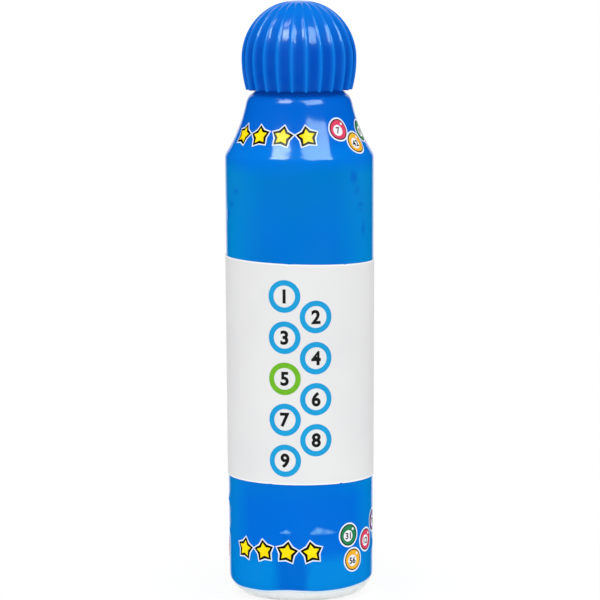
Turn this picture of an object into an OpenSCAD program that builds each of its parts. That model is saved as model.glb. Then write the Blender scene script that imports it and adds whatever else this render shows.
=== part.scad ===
// Bingo dauber: a blow-moulded ink bottle in a shrink sleeve, with a spring-valve
// foam tip under a ribbed dome cap. It stands on z = 0, centred on the Z axis.

/* [Bottle] */
// Outer diameter of the bare body just under the shoulder
body_top_d = 34.5; // [30:0.1:44]
// Outer diameter of the bare body just above the heel
body_foot_d = 33.5; // [30:0.1:44]
// Height of the side, up to the shoulder's rounded corner
side_h = 103.2; // [85:0.1:140]
// Wall of the body, shoulder and base
wall = 1.2; // [0.9:0.05:1.5]
// Radius of the rounded heel
heel_r = 5; // [4:0.1:7]
// Width of the flat ring that the bottle stands on
foot_w = 1.8; // [1:0.1:3]
// Rise of the hollow in the middle of the base
push_up = 1.4; // [0.8:0.1:2]

/* [Shoulder] */
// Radius of the corner between the side and the shoulder
corner_r = 2; // [1.8:0.1:3]
// Lean of the flared shoulder at its foot, from upright
flare_foot_a = 33; // [28:1:38]
// Lean of the flared shoulder at its head, from upright
flare_head_a = 13; // [10:1:18]
// Diameter at the head of the flare, where the collar begins
collar_d = 25; // [23.5:0.1:27]
// Slant height of the straight band of the collar
collar_h = 1.6; // [1:0.1:3]
// Radius of the collar's rounded top edge
collar_r = 2.75; // [2.4:0.05:3.2]

/* [Neck] */
// Outer diameter of the neck, under its screw thread
neck_d = 19.4; // [18.6:0.1:20]
// Wall of the neck
neck_wall = 1.45; // [1.2:0.05:1.7]
// Height of the neck above the collar
neck_h = 6.6; // [5.5:0.1:9]
// Height of the screw thread's ridge on the neck
thread_h = 0.8; // [0.6:0.05:1]

/* [Cap] */
// Number of ribs round the cap
rib_count = 24; // [16:1:30]
// Width of a rib where the dome is widest
rib_w = 0.9; // [0.6:0.05:1.2]
// Height of a rib where the dome is widest
rib_h = 0.55; // [0.3:0.05:0.7]
// Height left of a rib near the crown
rib_crown_h = 0.1; // [0.05:0.05:0.25]
// Radius of the smooth spot on the crown, where the ribs end
crown_spot_r = 2.2; // [1.5:0.1:4]
// Wall of the skirt between the ribs, at the rim
cap_wall = 1.15; // [0.9:0.05:1.5]
// How far the dome swells out beyond the rim
cap_bulge = 1; // [0.6:0.1:1.6]
// Wall of the dome between the ribs
dome_wall = 1.05; // [0.9:0.05:1.4]
// Chamfer under the rim between the ribs
rim_chamfer = 0.4; // [0.2:0.05:0.6]
// Gap between the shut cap's rim and the sleeve
rim_gap = 0.45; // [0.3:0.05:1]
// Free height between the tip and the inside of the dome
headspace = 6.3; // [5.5:0.1:9]
// Wall of the round rib inside the dome that presses on the gasket
press_rib_w = 1.2; // [0.8:0.1:1.4]
// How far the bead that holds the gasket in the cap reaches under it
bead_grip = 0.3; // [0.2:0.05:0.4]
// Height of that bead
bead_h = 0.9; // [0.6:0.1:1.2]

/* [Gasket] */
// Thickness of the gasket
gasket_t = 0.9; // [0.6:0.1:1.4]
// Clearance between the gasket and the bore of the cap
gasket_play = 0.2; // [0.1:0.05:0.3]
// Clearance above and below the gasket
gasket_seat_gap = 0.1; // [0.05:0.05:0.2]

/* [Tip] */
// Travel of the tip when it is pressed
stroke = 1.5; // [1:0.1:2]
// Rise of the domed tip above its ring
tip_rise = 2.3; // [1.8:0.1:3]
// Thickness of the tip's trapped edge
hem_t = 1.2; // [1:0.1:1.8]
// Thickness of the woven cover
cover_t = 0.35; // [0.25:0.05:0.5]
// How far the ring's lip reaches over the tip's edge
lip_overlap = 0.45; // [0.35:0.05:0.6]
// Clearance round the tip
tip_play = 0.25; // [0.15:0.05:0.3]
// Wall of the retaining ring's skirt
ring_wall = 0.6; // [0.5:0.05:0.8]
// Thickness of the retaining ring's lip
ring_lip_t = 0.8; // [0.6:0.1:1.2]

/* [Housing] */
// Thickness of the flange on the neck's rim
flange_t = 1; // [0.8:0.1:1.5]
// Wall of the cup round the tip's edge
cup_wall = 0.7; // [0.6:0.05:0.9]
// Wall of the plug in the neck
plug_wall = 0.85; // [0.7:0.05:1.1]
// Thickness of the floor under the valve's spring
floor_t = 1.2; // [0.9:0.1:1.6]
// How far the plug reaches below the neck's inner edge
plug_drop = 1.3; // [1.2:0.1:2]
// How far the snap bead on the plug reaches under the neck's inner edge
snap_grip = 0.3; // [0.2:0.05:0.4]
// Diameter of the ink hole in the floor
seat_hole_d = 5.4; // [4.6:0.1:5.8]
// Width of the ridge that the valve shuts against
seat_ridge_w = 0.5; // [0.3:0.05:0.8]
// Height of that ridge, and of the ring that centres the spring
seat_ridge_h = 0.4; // [0.2:0.05:0.6]
// Clearance between parts that snap together
fit = 0.05; // [0.02:0.01:0.08]

/* [Valve] */
// Thickness of the platform under the foam
platform_t = 1.25; // [1:0.05:1.6]
// Number of ink holes through the platform
ink_holes = 6; // [4:1:8]
// Diameter of an ink hole
ink_hole_d = 1.5; // [1:0.1:1.8]
// Clearance between the platform and the plug
platform_play = 0.35; // [0.3:0.05:0.5]
// Diameter of the stem
stem_d = 2.8; // [2.4:0.1:3]
// Diameter of the valve's head
disc_d = 8.4; // [7.6:0.1:10]
// Thickness of the valve's head
disc_t = 1.2; // [0.9:0.1:1.6]
// Thickness of the rubber washer
seal_t = 0.9; // [0.6:0.1:1.2]
// How far the washer stays inside the head's edge
seal_inset = 0.3; // [0.1:0.05:0.6]
// Length of the barb below the head
barb_l = 1; // [0.8:0.1:1.5]
// How far the barb reaches under the head
barb_grip = 0.35; // [0.25:0.05:0.5]

/* [Spring] */
// Wire diameter
wire_d = 0.6; // [0.4:0.05:0.7]
// Number of turns
spring_turns = 6; // [4:1:7]
// Clearance between the spring and the parts that it sits against
spring_gap = 0.05; // [0.02:0.01:0.1]

/* [Sleeve and label] */
// Thickness of the shrink film
film_t = 0.15; // [0.1:0.01:0.25]
// Thickness of the label
label_t = 0.14; // [0.08:0.01:0.2]
// Space for adhesive under the film and under the label
glue_gap = 0.03; // [0.01:0.01:0.05]
// Height of the sleeve's lower edge above the table
sleeve_foot_z = 2.7; // [2:0.1:4.5]
// How far the sleeve reaches up the foot of the neck
sleeve_tuck_h = 1.2; // [0.4:0.1:1.6]
// Height of the label's lower edge above the table
label_foot_z = 28.2; // [12:0.1:40]
// Height of the label
label_h = 52; // [30:1:58]
// Gap between the label's ends at the back
label_gap_w = 1.2; // [0.6:0.1:6]

/* [Hidden] */
$fn = 96;

// Colours
white_plastic = [0.94, 0.94, 0.93];
cap_blue = [0.02, 0.36, 0.78];
film_blue = [0.0, 0.46, 0.83];
label_white = [0.9, 0.9, 0.91];
cream_plastic = [0.9, 0.89, 0.84];
foam_grey = [0.8, 0.8, 0.78];
weave_blue = [0.1, 0.3, 0.62];
rubber_black = [0.12, 0.12, 0.13];
spring_steel = [0.68, 0.69, 0.7];

// A point on a circle, and an arc of such points
function turned(r, a) = r * [cos(a), sin(a)];
function arc(centre, r, from_a, to_a, steps) =
    [for (i = [0:steps]) centre + turned(r, from_a + (to_a - from_a) * i / steps)];
function reversed(points) = [for (i = [len(points) - 1:-1:0]) points[i]];

// Bottle: centres of the arcs that make its side, from the heel up to the collar
foot_r = body_foot_d / 2;
top_r = body_top_d / 2;
heel_c = [foot_r - heel_r, heel_r];
corner_c = [top_r - corner_r, side_h];
flare_foot = corner_c + turned(corner_r, flare_foot_a);
flare_r = (flare_foot[0] - collar_d / 2) / (cos(flare_head_a) - cos(flare_foot_a));
flare_c = flare_foot + turned(flare_r, flare_foot_a);
flare_head = flare_c - turned(flare_r, flare_head_a);
collar_foot = flare_head + turned(collar_h, flare_head_a + 90);
collar_c = collar_foot - turned(collar_r, flare_head_a);
collar_top = collar_c[1] + collar_r;
heel_steps = 12;
corner_steps = 5;
flare_steps = 10;
collar_steps = 10;

// Base: the sphere that hollows it
push_up_r = heel_c[0] - foot_w;
push_up_ball_r = (pow(push_up_r, 2) + pow(push_up, 2)) / (2 * push_up);

// Neck
neck_r = neck_d / 2;
neck_bore_r = neck_r - neck_wall;
neck_foot = collar_top - wall;
neck_top = collar_top + neck_h;

// Sleeve and label
film_out = glue_gap + film_t;
label_in = film_out + glue_gap;
sleeve_foot_a = asin((sleeve_foot_z - heel_r) / heel_r);
label_gap_a = label_gap_w / top_r * 180 / PI;

// Housing, ring and tip, from the outside in and from the neck's rim up
ring_bore_r = neck_r - ring_wall;
cup_r = ring_bore_r - fit;
cup_bore_r = cup_r - cup_wall;
hem_r = cup_bore_r - tip_play;
window_r = hem_r - lip_overlap;
tip_r = window_r - tip_play;
plug_r = neck_bore_r - fit;
plug_bore_r = plug_r - plug_wall;
stop_gap = 0.2;
flange_top = neck_top + flange_t;
cup_top = flange_top + hem_t + stroke + stop_gap;
ring_top = cup_top + ring_lip_t;
ring_chamfer = 0.25;
hem_top = cup_top - fit;
hem_foot = hem_top - hem_t;
tip_top = ring_top + tip_rise;
dome_steps = 12;

// Valve, from the platform down to the head in the bottle
floor_foot = neck_foot - plug_drop;
floor_top = floor_foot + floor_t;
seat_hole_r = seat_hole_d / 2;
seat_ridge_r = seat_hole_r + seat_ridge_w;
plug_chamfer = 0.3;
platform_r = plug_bore_r - platform_play;
platform_foot = hem_foot - platform_t;
stem_r = stem_d / 2;
seal_top = floor_foot - seat_ridge_h - fit;
disc_top = seal_top - seal_t;
disc_foot = disc_top - disc_t;
disc_r = disc_d / 2;
barb_top = disc_foot - fit;

// Spring
wire_r = wire_d / 2;
spring_r = seat_ridge_r + spring_gap + 2 * wire_r;
spring_foot = floor_top + spring_gap;
spring_top = platform_foot - spring_gap;
ink_ring_r = (spring_r + platform_r + wire_r) / 2;
turn_steps = 12;
wire_sides = 6;

// Cap
cap_rim = collar_top + film_out + rim_gap;
thread_play = 0.3;
cap_bore_r = neck_r + thread_h + thread_play;
rim_r = cap_bore_r + cap_wall + rib_h;
dome_r = rim_r + cap_bulge;
root_r = dome_r - rib_h;
inner_dome_r = root_r - dome_wall;
dome_z = tip_top + headspace - inner_dome_r;
skirt_h = dome_z - cap_rim;
skirt_arc_r = (pow(skirt_h, 2) + pow(cap_bulge, 2)) / (2 * cap_bulge);
root_lift = rib_h - rib_crown_h;
rib_a = rib_w / dome_r * 180 / PI;
front_a = -90;

// Gasket and the cap's seat for it
gasket_foot = ring_top + gasket_seat_gap;
gasket_top = gasket_foot + gasket_t;
gasket_r = cap_bore_r - gasket_play;
gasket_bore_r = window_r + tip_play;
press_rib_r = gasket_bore_r + tip_play;
press_rib_foot = gasket_top + gasket_seat_gap;
press_rib_root = 0.4;
bead_r = gasket_r - bead_grip;
bead_top = gasket_foot - gasket_seat_gap;

// Points up the bottle's side at a distance off its outer face
function side_points(off, foot_a = -90, top_a = 90) = concat(
    arc(heel_c, heel_r + off, foot_a, 0, heel_steps),
    arc(corner_c, corner_r + off, 0, flare_foot_a, corner_steps),
    [for (i = [1:flare_steps])
        let (a = flare_foot_a + (flare_head_a - flare_foot_a) * i / flare_steps)
        flare_c - turned(flare_r - off, a)],
    arc(collar_c, collar_r + off, flare_head_a, top_a, collar_steps));

// Angle on the collar's rounded edge where film at a distance off it meets the film on the neck
function tuck_a(off) = acos(max(0, neck_r + off - collar_c[0]) / (collar_r + off));

// Radius of the bottle's side at a height
function side_r(z) = foot_r + (top_r - foot_r) * (z - heel_r) / (side_h - heel_r);

// The body as a solid of revolution, grown or shrunk by off
module body_solid(off) {
    rotate_extrude()
        polygon(concat([[0, -off]], side_points(off), [[0, collar_top + off]]));
}

// Ball whose cap hollows the base, grown by off
module push_up_ball(off) {
    translate([0, 0, push_up - push_up_ball_r])
        sphere(r = push_up_ball_r + off);
}

// Blow-moulded bottle with an open neck
module bottle() {
    color(white_plastic)
        difference() {
            union() {
                body_solid(0);
                translate([0, 0, neck_foot])
                    cylinder(r = neck_r, h = neck_top - neck_foot);
            }
            difference() {
                body_solid(-wall);
                push_up_ball(wall);
            }
            translate([0, 0, neck_foot - wall])
                cylinder(r = neck_bore_r, h = neck_top - neck_foot + 2 * wall);
            push_up_ball(0);
        }
}

// Shrink film from the heel up over the collar's edge to the foot of the neck
module shrink_sleeve() {
    tuck_top = collar_top + sleeve_tuck_h;
    color(film_blue)
        rotate_extrude()
            polygon(concat(
                side_points(film_out, sleeve_foot_a, tuck_a(film_out)),
                [[neck_r + film_out, tuck_top], [neck_r + glue_gap, tuck_top]],
                reversed(side_points(glue_gap, sleeve_foot_a, tuck_a(glue_gap)))));
}

// Label wound once round the sleeve, with its ends apart at the back
module wrap_label() {
    foot = side_r(label_foot_z) + label_in;
    head_z = label_foot_z + label_h;
    head = side_r(head_z) + label_in;
    color(label_white)
        rotate([0, 0, -front_a + label_gap_a / 2])
            rotate_extrude(angle = 360 - label_gap_a)
                polygon([
                    [foot, label_foot_z],
                    [foot + label_t, label_foot_z],
                    [head + label_t, head_z],
                    [head, head_z]
                ]);
}

// Plug in the neck: the tip's cup on top, the valve's seat underneath
module applicator_housing() {
    snap_r = plug_r + snap_grip;
    snap_top = neck_foot - fit;
    snap_foot = floor_foot + plug_chamfer;
    color(cream_plastic)
        rotate_extrude()
            polygon([
                [seat_hole_r, floor_foot - seat_ridge_h],
                [seat_ridge_r, floor_foot - seat_ridge_h],
                [seat_ridge_r, floor_foot],
                [plug_r - plug_chamfer, floor_foot],
                [plug_r, snap_foot],
                [snap_r, snap_top - snap_grip],
                [snap_r, snap_top],
                [plug_r, snap_top],
                [plug_r, neck_top],
                [neck_r, neck_top],
                [neck_r, flange_top],
                [cup_r, flange_top],
                [cup_r, cup_top],
                [cup_bore_r, cup_top],
                [cup_bore_r, flange_top],
                [plug_bore_r, flange_top],
                [plug_bore_r, floor_top],
                [seat_ridge_r, floor_top],
                [seat_ridge_r, floor_top + seat_ridge_h],
                [seat_hole_r, floor_top + seat_ridge_h]
            ]);
}

// Ring that snaps over the cup, with a lip over the tip's edge
module retaining_ring() {
    color(cream_plastic)
        rotate_extrude()
            polygon([
                [ring_bore_r, flange_top + fit],
                [neck_r, flange_top + fit],
                [neck_r, ring_top - ring_chamfer],
                [neck_r - ring_chamfer, ring_top],
                [window_r + ring_chamfer, ring_top],
                [window_r, ring_top - ring_chamfer],
                [window_r, cup_top],
                [ring_bore_r, cup_top]
            ]);
}

// Points over the tip's dome, from its side to its top, inset by the cover or not
function tip_dome(inset) = [for (i = [0:dome_steps])
    let (a = 90 * i / dome_steps)
    [(tip_r - inset) * cos(a), ring_top + (tip_rise - inset) * sin(a)]];

// Foam tip with its trapped edge
module foam_pad() {
    color(foam_grey)
        rotate_extrude()
            polygon(concat(
                [
                    [0, hem_foot],
                    [hem_r, hem_foot],
                    [hem_r, hem_top - cover_t],
                    [tip_r - cover_t, hem_top - cover_t]
                ],
                tip_dome(cover_t)));
}

// Woven cover over the foam, with its edge under the ring's lip
module tip_cover() {
    color(weave_blue)
        rotate_extrude()
            polygon(concat(
                [
                    [tip_r - cover_t, hem_top - cover_t],
                    [hem_r, hem_top - cover_t],
                    [hem_r, hem_top],
                    [tip_r, hem_top]
                ],
                tip_dome(0),
                reversed(tip_dome(cover_t))));
}

// Perforated platform under the foam, and the stem with its barbed end
module valve_plunger() {
    color(cream_plastic)
        difference() {
            rotate_extrude()
                polygon([
                    [0, hem_foot],
                    [platform_r, hem_foot],
                    [platform_r, platform_foot],
                    [stem_r, platform_foot],
                    [stem_r, barb_top],
                    [stem_r + barb_grip, barb_top],
                    [stem_r - barb_grip, barb_top - barb_l],
                    [0, barb_top - barb_l]
                ]);
            for (i = [0:ink_holes - 1])
                rotate([0, 0, front_a + 360 / ink_holes * i])
                    translate([ink_ring_r, 0, platform_foot - platform_t])
                        cylinder(d = ink_hole_d, h = 3 * platform_t);
        }
}

// A flat washer round the valve's stem
module stem_washer(r, foot, t) {
    translate([0, 0, foot])
        difference() {
            cylinder(r = r, h = t);
            translate([0, 0, -t])
                cylinder(r = stem_r + fit, h = 3 * t);
        }
}

// Head that snaps over the stem's barb
module valve_disc() {
    color(cream_plastic)
        stem_washer(disc_r, disc_foot, disc_t);
}

// Rubber washer that shuts against the seat's ridge
module valve_seal() {
    color(rubber_black)
        stem_washer(disc_r - seal_inset, disc_top, seal_t);
}

// Middle of the spring's wire after i steps
function wire_point(i) =
    let (
        a = 360 * i / turn_steps,
        rise = (spring_top - spring_foot - wire_d) * i / (turn_steps * spring_turns)
    )
    [spring_r * cos(a), spring_r * sin(a), spring_foot + wire_r + rise];

// A ring of points round the wire, in the upright plane through the axis
function wire_ring(i) =
    let (
        a = 360 * i / turn_steps,
        middle = wire_point(i)
    )
    [for (k = [0:wire_sides - 1])
        let (b = 360 * k / wire_sides)
        middle + wire_r * [cos(a) * cos(b), sin(a) * cos(b), sin(b)]];

// Least gap between turns, over all points at least half a turn apart
spring_steps = turn_steps * spring_turns;
spring_self_gap = min([for (i = [0:spring_steps - turn_steps / 2])
    for (j = [i + turn_steps / 2:spring_steps])
        norm(wire_point(i) - wire_point(j))]) - wire_d;
echo(spring_self_gap = spring_self_gap);

// Coil spring as one tube swept along its helix
module valve_spring() {
    rings = spring_steps + 1;
    points = [for (i = [0:spring_steps]) each wire_ring(i)];
    sides = [for (i = [0:spring_steps - 1])
        for (k = [0:wire_sides - 1])
            let (
                a = i * wire_sides + k,
                b = i * wire_sides + (k + 1) % wire_sides
            )
            each [[a, a + wire_sides, b], [b, a + wire_sides, b + wire_sides]]];
    first_end = [for (k = [1:wire_sides - 2]) [0, k, k + 1]];
    last = (rings - 1) * wire_sides;
    last_end = [for (k = [1:wire_sides - 2]) [last, last + k + 1, last + k]];
    color(spring_steel)
        polyhedron(points, concat(sides, first_end, last_end));
}

// Half outline of a dome on a swelling skirt, from its foot up to the crown
module dome_half(r, z, foot) {
    intersection() {
        translate([0, z])
            circle(r = r);
        translate([0, z])
            square([2 * r, 2 * r]);
    }
    intersection() {
        translate([r - skirt_arc_r, z])
            circle(r = skirt_arc_r);
        translate([0, foot])
            square([2 * r, z - foot]);
    }
}

// One flute between two ribs, from the crown's smooth spot down past the rim
module cap_flute() {
    flute_a = 360 / rib_count - rib_a;
    flute_foot = cap_rim - rim_gap;
    rim_root_a = asin((skirt_h + root_lift) / skirt_arc_r);
    rim_root_r = root_r - skirt_arc_r * (1 - cos(rim_root_a));
    rotate([0, 0, -flute_a / 2])
        rotate_extrude(angle = flute_a)
            difference() {
                translate([crown_spot_r, flute_foot])
                    square([2 * dome_r, skirt_h + 2 * dome_r]);
                difference() {
                    dome_half(root_r, dome_z + root_lift, flute_foot);
                    translate([rim_root_r, cap_rim])
                        polygon([
                            [-rim_chamfer - rim_gap, -rim_gap],
                            [rim_chamfer, 2 * rim_chamfer],
                            [rim_chamfer, -rim_gap]
                        ]);
                }
            }
}

// Hollow of the cap: a straight bore under a dome
module cap_hollow() {
    rotate_extrude()
        union() {
            intersection() {
                translate([0, dome_z])
                    circle(r = inner_dome_r);
                translate([0, dome_z])
                    square([cap_bore_r, 2 * inner_dome_r]);
            }
            translate([0, cap_rim - rim_gap])
                square([cap_bore_r, dome_z - cap_rim + rim_gap]);
        }
}

// Round rib that presses on the gasket, let into the dome's wall
module press_rib() {
    outer_r = press_rib_r + press_rib_w;
    root_ball_r = inner_dome_r + press_rib_root;
    rotate_extrude()
        polygon([
            [press_rib_r, press_rib_foot],
            [outer_r, press_rib_foot],
            [outer_r, dome_z + sqrt(pow(root_ball_r, 2) - pow(outer_r, 2))],
            [press_rib_r, dome_z + sqrt(pow(root_ball_r, 2) - pow(press_rib_r, 2))]
        ]);
}

// Bead in the bore that keeps the gasket in the cap
module gasket_bead() {
    reach = cap_bore_r - bead_r;
    rotate_extrude()
        polygon([
            [cap_bore_r + fit, bead_top - bead_h],
            [bead_r, bead_top - bead_h + reach],
            [bead_r, bead_top],
            [cap_bore_r + fit, bead_top]
        ]);
}

// Screw cap: a dome on a swelling skirt, fluted between its ribs
module cap() {
    color(cap_blue)
        union() {
            difference() {
                rotate_extrude()
                    dome_half(dome_r, dome_z, cap_rim);
                for (i = [0:rib_count - 1])
                    rotate([0, 0, front_a + 360 / rib_count * i])
                        cap_flute();
                cap_hollow();
            }
            press_rib();
            gasket_bead();
        }
}

// Loose sealing ring between the cap and the retaining ring
module cap_gasket() {
    color(label_white)
        translate([0, 0, gasket_foot])
            difference() {
                cylinder(r = gasket_r, h = gasket_t);
                translate([0, 0, -gasket_t])
                    cylinder(r = gasket_bore_r, h = 3 * gasket_t);
            }
}

bottle();
shrink_sleeve();
wrap_label();
applicator_housing();
retaining_ring();
foam_pad();
tip_cover();
valve_plunger();
valve_disc();
valve_seal();
valve_spring();
cap();
cap_gasket();
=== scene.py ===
# %% [markdown]
# # A bingo dauber, dressed in Blender
# A dauber is a bottle of ink with a soft tip under a screw cap. The exact solids of its pieces come
# packed as a frame, and every mesh made here sits in that frame, in metres, with +Z up and the
# front of the label facing -Y. The frame is loaded first, because each size below starts from it.

# %% Load the frame
import math

import bmesh
import bpy
import numpy as np
from mathutils import Matrix, Vector


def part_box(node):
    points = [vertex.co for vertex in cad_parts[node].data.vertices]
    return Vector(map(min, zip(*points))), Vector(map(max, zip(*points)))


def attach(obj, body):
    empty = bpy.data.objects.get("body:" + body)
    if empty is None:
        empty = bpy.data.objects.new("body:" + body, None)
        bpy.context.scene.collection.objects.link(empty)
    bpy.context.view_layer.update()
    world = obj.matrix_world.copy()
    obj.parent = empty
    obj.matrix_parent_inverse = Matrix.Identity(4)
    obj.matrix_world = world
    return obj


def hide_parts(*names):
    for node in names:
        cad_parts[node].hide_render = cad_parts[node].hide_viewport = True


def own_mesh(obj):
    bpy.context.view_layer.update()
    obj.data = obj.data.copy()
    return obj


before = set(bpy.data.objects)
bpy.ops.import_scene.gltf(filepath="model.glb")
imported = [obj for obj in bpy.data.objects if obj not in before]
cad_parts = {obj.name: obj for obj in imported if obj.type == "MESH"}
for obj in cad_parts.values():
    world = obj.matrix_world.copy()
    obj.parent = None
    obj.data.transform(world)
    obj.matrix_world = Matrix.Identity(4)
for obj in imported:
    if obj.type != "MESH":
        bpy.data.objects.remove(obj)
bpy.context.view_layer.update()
MM = 0.001


def put(name, data):
    """A new object in the scene."""
    obj = bpy.data.objects.new(name, data)
    bpy.context.scene.collection.objects.link(obj)
    return obj


# %% [markdown]
# ## The camera
# The picture to match was taken with a long lens, from a little above the middle of the bottle, so the
# upright sides stay almost parallel while the lower edge of the cap shows as a shallow curve. A short
# lens from close by would bend the label's edges far too much. The dauber also leans a hair to
# the left.

# %% Set the camera
CAMERA_BACK = 852.4 * MM
CAMERA_HEIGHT = 177.1 * MM
CAMERA_PITCH = math.radians(7.2)
CAMERA_LENS = 219.2
LEAN = math.radians(0.24)

camera_data = bpy.data.cameras.new("camera")
camera_data.lens = CAMERA_LENS
camera_data.sensor_width = 36
camera = put("camera", camera_data)
upright = Matrix.Rotation(math.pi / 2 - CAMERA_PITCH, 4, "X") @ Matrix.Rotation(-LEAN, 4, "Z")
camera.matrix_world = Matrix.Translation((0, -CAMERA_BACK, CAMERA_HEIGHT)) @ upright
bpy.context.scene.camera = camera
bpy.context.scene.view_settings.view_transform = "Standard"
print("camera: lens", CAMERA_LENS, "mm, pitched down", round(math.degrees(CAMERA_PITCH), 1), "degrees")

# %% [markdown]
# ## Building shader nodes
# A material is a small network. A few helpers keep it readable. One adds a node and fills its inputs
# from a dictionary, where a value is either a number or another node's output, and one links outputs
# to sockets by name. The others stand for the nodes that come back most: mixes, ranges, sums, noise and
# the masks that a mesh stores. Colours are written as they look on a screen, 0 to 255, and turned into
# linear light.

# %% Node helpers
def screen(red, green, blue):
    """A colour as seen on a screen, in linear light."""
    levels = [v / 255 for v in (red, green, blue)]
    linear = [v / 12.92 if v <= 0.04045 else ((v + 0.055) / 1.055) ** 2.4 for v in levels]
    return (*linear, 1)


def add(tree, kind, inputs=None, **settings):
    """A new node, with its settings and its inputs filled."""
    node = tree.nodes.new("ShaderNode" + kind)
    for name, value in settings.items():
        setattr(node, name, value)
    for name, value in (inputs or {}).items():
        if isinstance(value, bpy.types.NodeSocket):
            tree.links.new(value, node.inputs[name])
        else:
            node.inputs[name].default_value = value
    return node


def connect(tree, sockets, **values):
    """Links outputs to sockets by name, with underscores for spaces."""
    for name, value in values.items():
        tree.links.new(value, sockets[name.replace("_", " ")])


def mix(tree, share, first, second):
    """The colour between first and second, at a share from 0 to 1."""
    node = add(tree, "Mix", {0: share, 6: first, 7: second}, data_type="RGBA")
    return node.outputs[2]


def remap(tree, value, low, high, to_low=0.0, to_high=1.0):
    """A value's place between low and high, moved to between to_low and to_high."""
    node = add(tree, "MapRange", {0: value, 1: low, 2: high, 3: to_low, 4: to_high})
    return node.outputs[0]


def calc(tree, operation, first, second=0.0):
    """A sum, product or other calculation on one or two values."""
    return add(tree, "Math", {0: first, 1: second}, operation=operation).outputs[0]


def object_coords(tree):
    """Coordinates that stay with the piece, in metres."""
    return add(tree, "TexCoord").outputs["Object"]


def noise(tree, coords, scale, detail=2.0, distortion=0.0):
    """A smooth noise, mostly between 0.3 and 0.7."""
    inputs = {"Vector": coords, "Scale": scale, "Detail": detail, "Distortion": distortion}
    return add(tree, "TexNoise", inputs).outputs[0]


def attribute(tree, name):
    """A mask that the mesh stores."""
    return add(tree, "Attribute", attribute_name=name).outputs["Fac"]


def bare_tree(owner):
    """The emptied node tree of a material or a world."""
    owner.use_nodes = True
    owner.node_tree.nodes.clear()
    return owner.node_tree


print("node helpers: screen, add, connect, mix, remap, calc, object_coords, noise, attribute, bare_tree")

# %% [markdown]
# ## The studio
# The dauber stands on a small white table under even light, with soft boxes round the camera: a wide
# one on the right, a narrow one on the left and a long strip above that. They are only there to be
# mirrored, so they are hidden from diffuse rays, and the even light comes from the world. What the
# camera and the mirror-like rays see of the world is plain white. The table fades into it and keeps a
# shadow, but it isn't mirrored, since it would lay a pale veil over the lower end of the film.

# %% Light the studio
WORLD_LEVEL = 0.92
TABLE_R = 0.1
TABLE_TONE = screen(251, 251, 251)
TABLE_VEIL = 0.84
VEIL_FADE = (0.03, 0.095)
FLOOR_Z = -0.02 * MM
LAMP_TARGET = Vector((0, 0, 0.11))

world = bpy.data.worlds.new("studio")
bpy.context.scene.world = world
world_tree = bare_tree(world)
ray = add(world_tree, "LightPath")
seen = calc(world_tree, "MAXIMUM", ray.outputs["Is Camera Ray"], ray.outputs["Is Glossy Ray"])
seen = calc(world_tree, "MAXIMUM", seen, ray.outputs["Is Transmission Ray"])
level = remap(world_tree, seen, 0, 1, WORLD_LEVEL, 1.0)
sky = add(world_tree, "Background", {"Color": (1, 1, 1, 1), "Strength": level})
add(world_tree, "OutputWorld", {"Surface": sky.outputs[0]})


def aim(obj, place, target):
    """Puts a lamp at a place, facing a target."""
    obj.location = place
    obj.rotation_euler = (Vector(target) - Vector(place)).to_track_quat("-Z", "Y").to_euler()


def direction(azimuth, elevation):
    """The way to a place by its angles in degrees, where azimuth 0 is the camera's side."""
    side_a, up = math.radians(azimuth), math.radians(elevation)
    return Vector((math.sin(side_a) * math.cos(up), -math.cos(side_a) * math.cos(up), math.sin(up)))


def soft_box(name, azimuth, elevation, width, height, radiance, tint=(1, 1, 1), distance=1.5):
    """A lit panel whose angles are seen from the shoulder. Its sizes are angles too, in degrees."""
    size_x = 2 * distance * math.tan(math.radians(width / 2))
    size_y = 2 * distance * math.tan(math.radians(height / 2))
    light = bpy.data.lights.new(name, "AREA")
    light.shape = "RECTANGLE"
    light.size = size_x
    light.size_y = size_y
    light.color = tint
    light.energy = radiance * math.pi * size_x * size_y
    lamp = put(name, light)
    aim(lamp, LAMP_TARGET + distance * direction(azimuth, elevation), LAMP_TARGET)
    lamp.visible_camera = False
    return lamp


right_box = soft_box("soft_box_right", azimuth=37, elevation=44, width=38, height=32, radiance=18,
                     tint=(0.72, 1, 0.85))
left_box = soft_box("soft_box_left", azimuth=-39, elevation=46, width=24, height=20, radiance=28,
                    tint=(0.82, 1, 0.86))
strip = soft_box("soft_box_strip", azimuth=-58, elevation=66, width=30, height=9, radiance=12)
for lamp in (right_box, left_box, strip):
    lamp.visible_diffuse = False
key = soft_box("key", azimuth=0, elevation=55, width=70, height=50, radiance=0.9)
key.visible_glossy = False

floor_bm = bmesh.new()
bmesh.ops.create_circle(floor_bm, cap_ends=True, segments=96, radius=TABLE_R)
floor_mesh = bpy.data.meshes.new("floor")
floor_bm.to_mesh(floor_mesh)
floor_bm.free()
floor = put("floor", floor_mesh)
floor.location.z = FLOOR_Z
floor.visible_glossy = False
floor_material = bpy.data.materials.new("floor_white")
floor_tree = bare_tree(floor_material)
floor_ray = add(floor_tree, "LightPath")
from_middle = add(floor_tree, "VectorMath", {0: object_coords(floor_tree)}, operation="LENGTH")
fade = remap(floor_tree, from_middle.outputs["Value"], *VEIL_FADE, TABLE_VEIL, 1.0)
veil = calc(floor_tree, "MULTIPLY", fade, floor_ray.outputs["Is Camera Ray"])
matte = add(floor_tree, "BsdfDiffuse", {"Color": TABLE_TONE})
white = add(floor_tree, "Emission", {"Color": (1, 1, 1, 1), "Strength": 1.0})
floor_mix = add(floor_tree, "MixShader", {0: veil, 1: matte.outputs[0], 2: white.outputs[0]})
add(floor_tree, "OutputMaterial", {"Surface": floor_mix.outputs[0]})
floor_mesh.materials.append(floor_material)
print("studio: world level", WORLD_LEVEL, "and", len(bpy.data.lights), "lamps")

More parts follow.
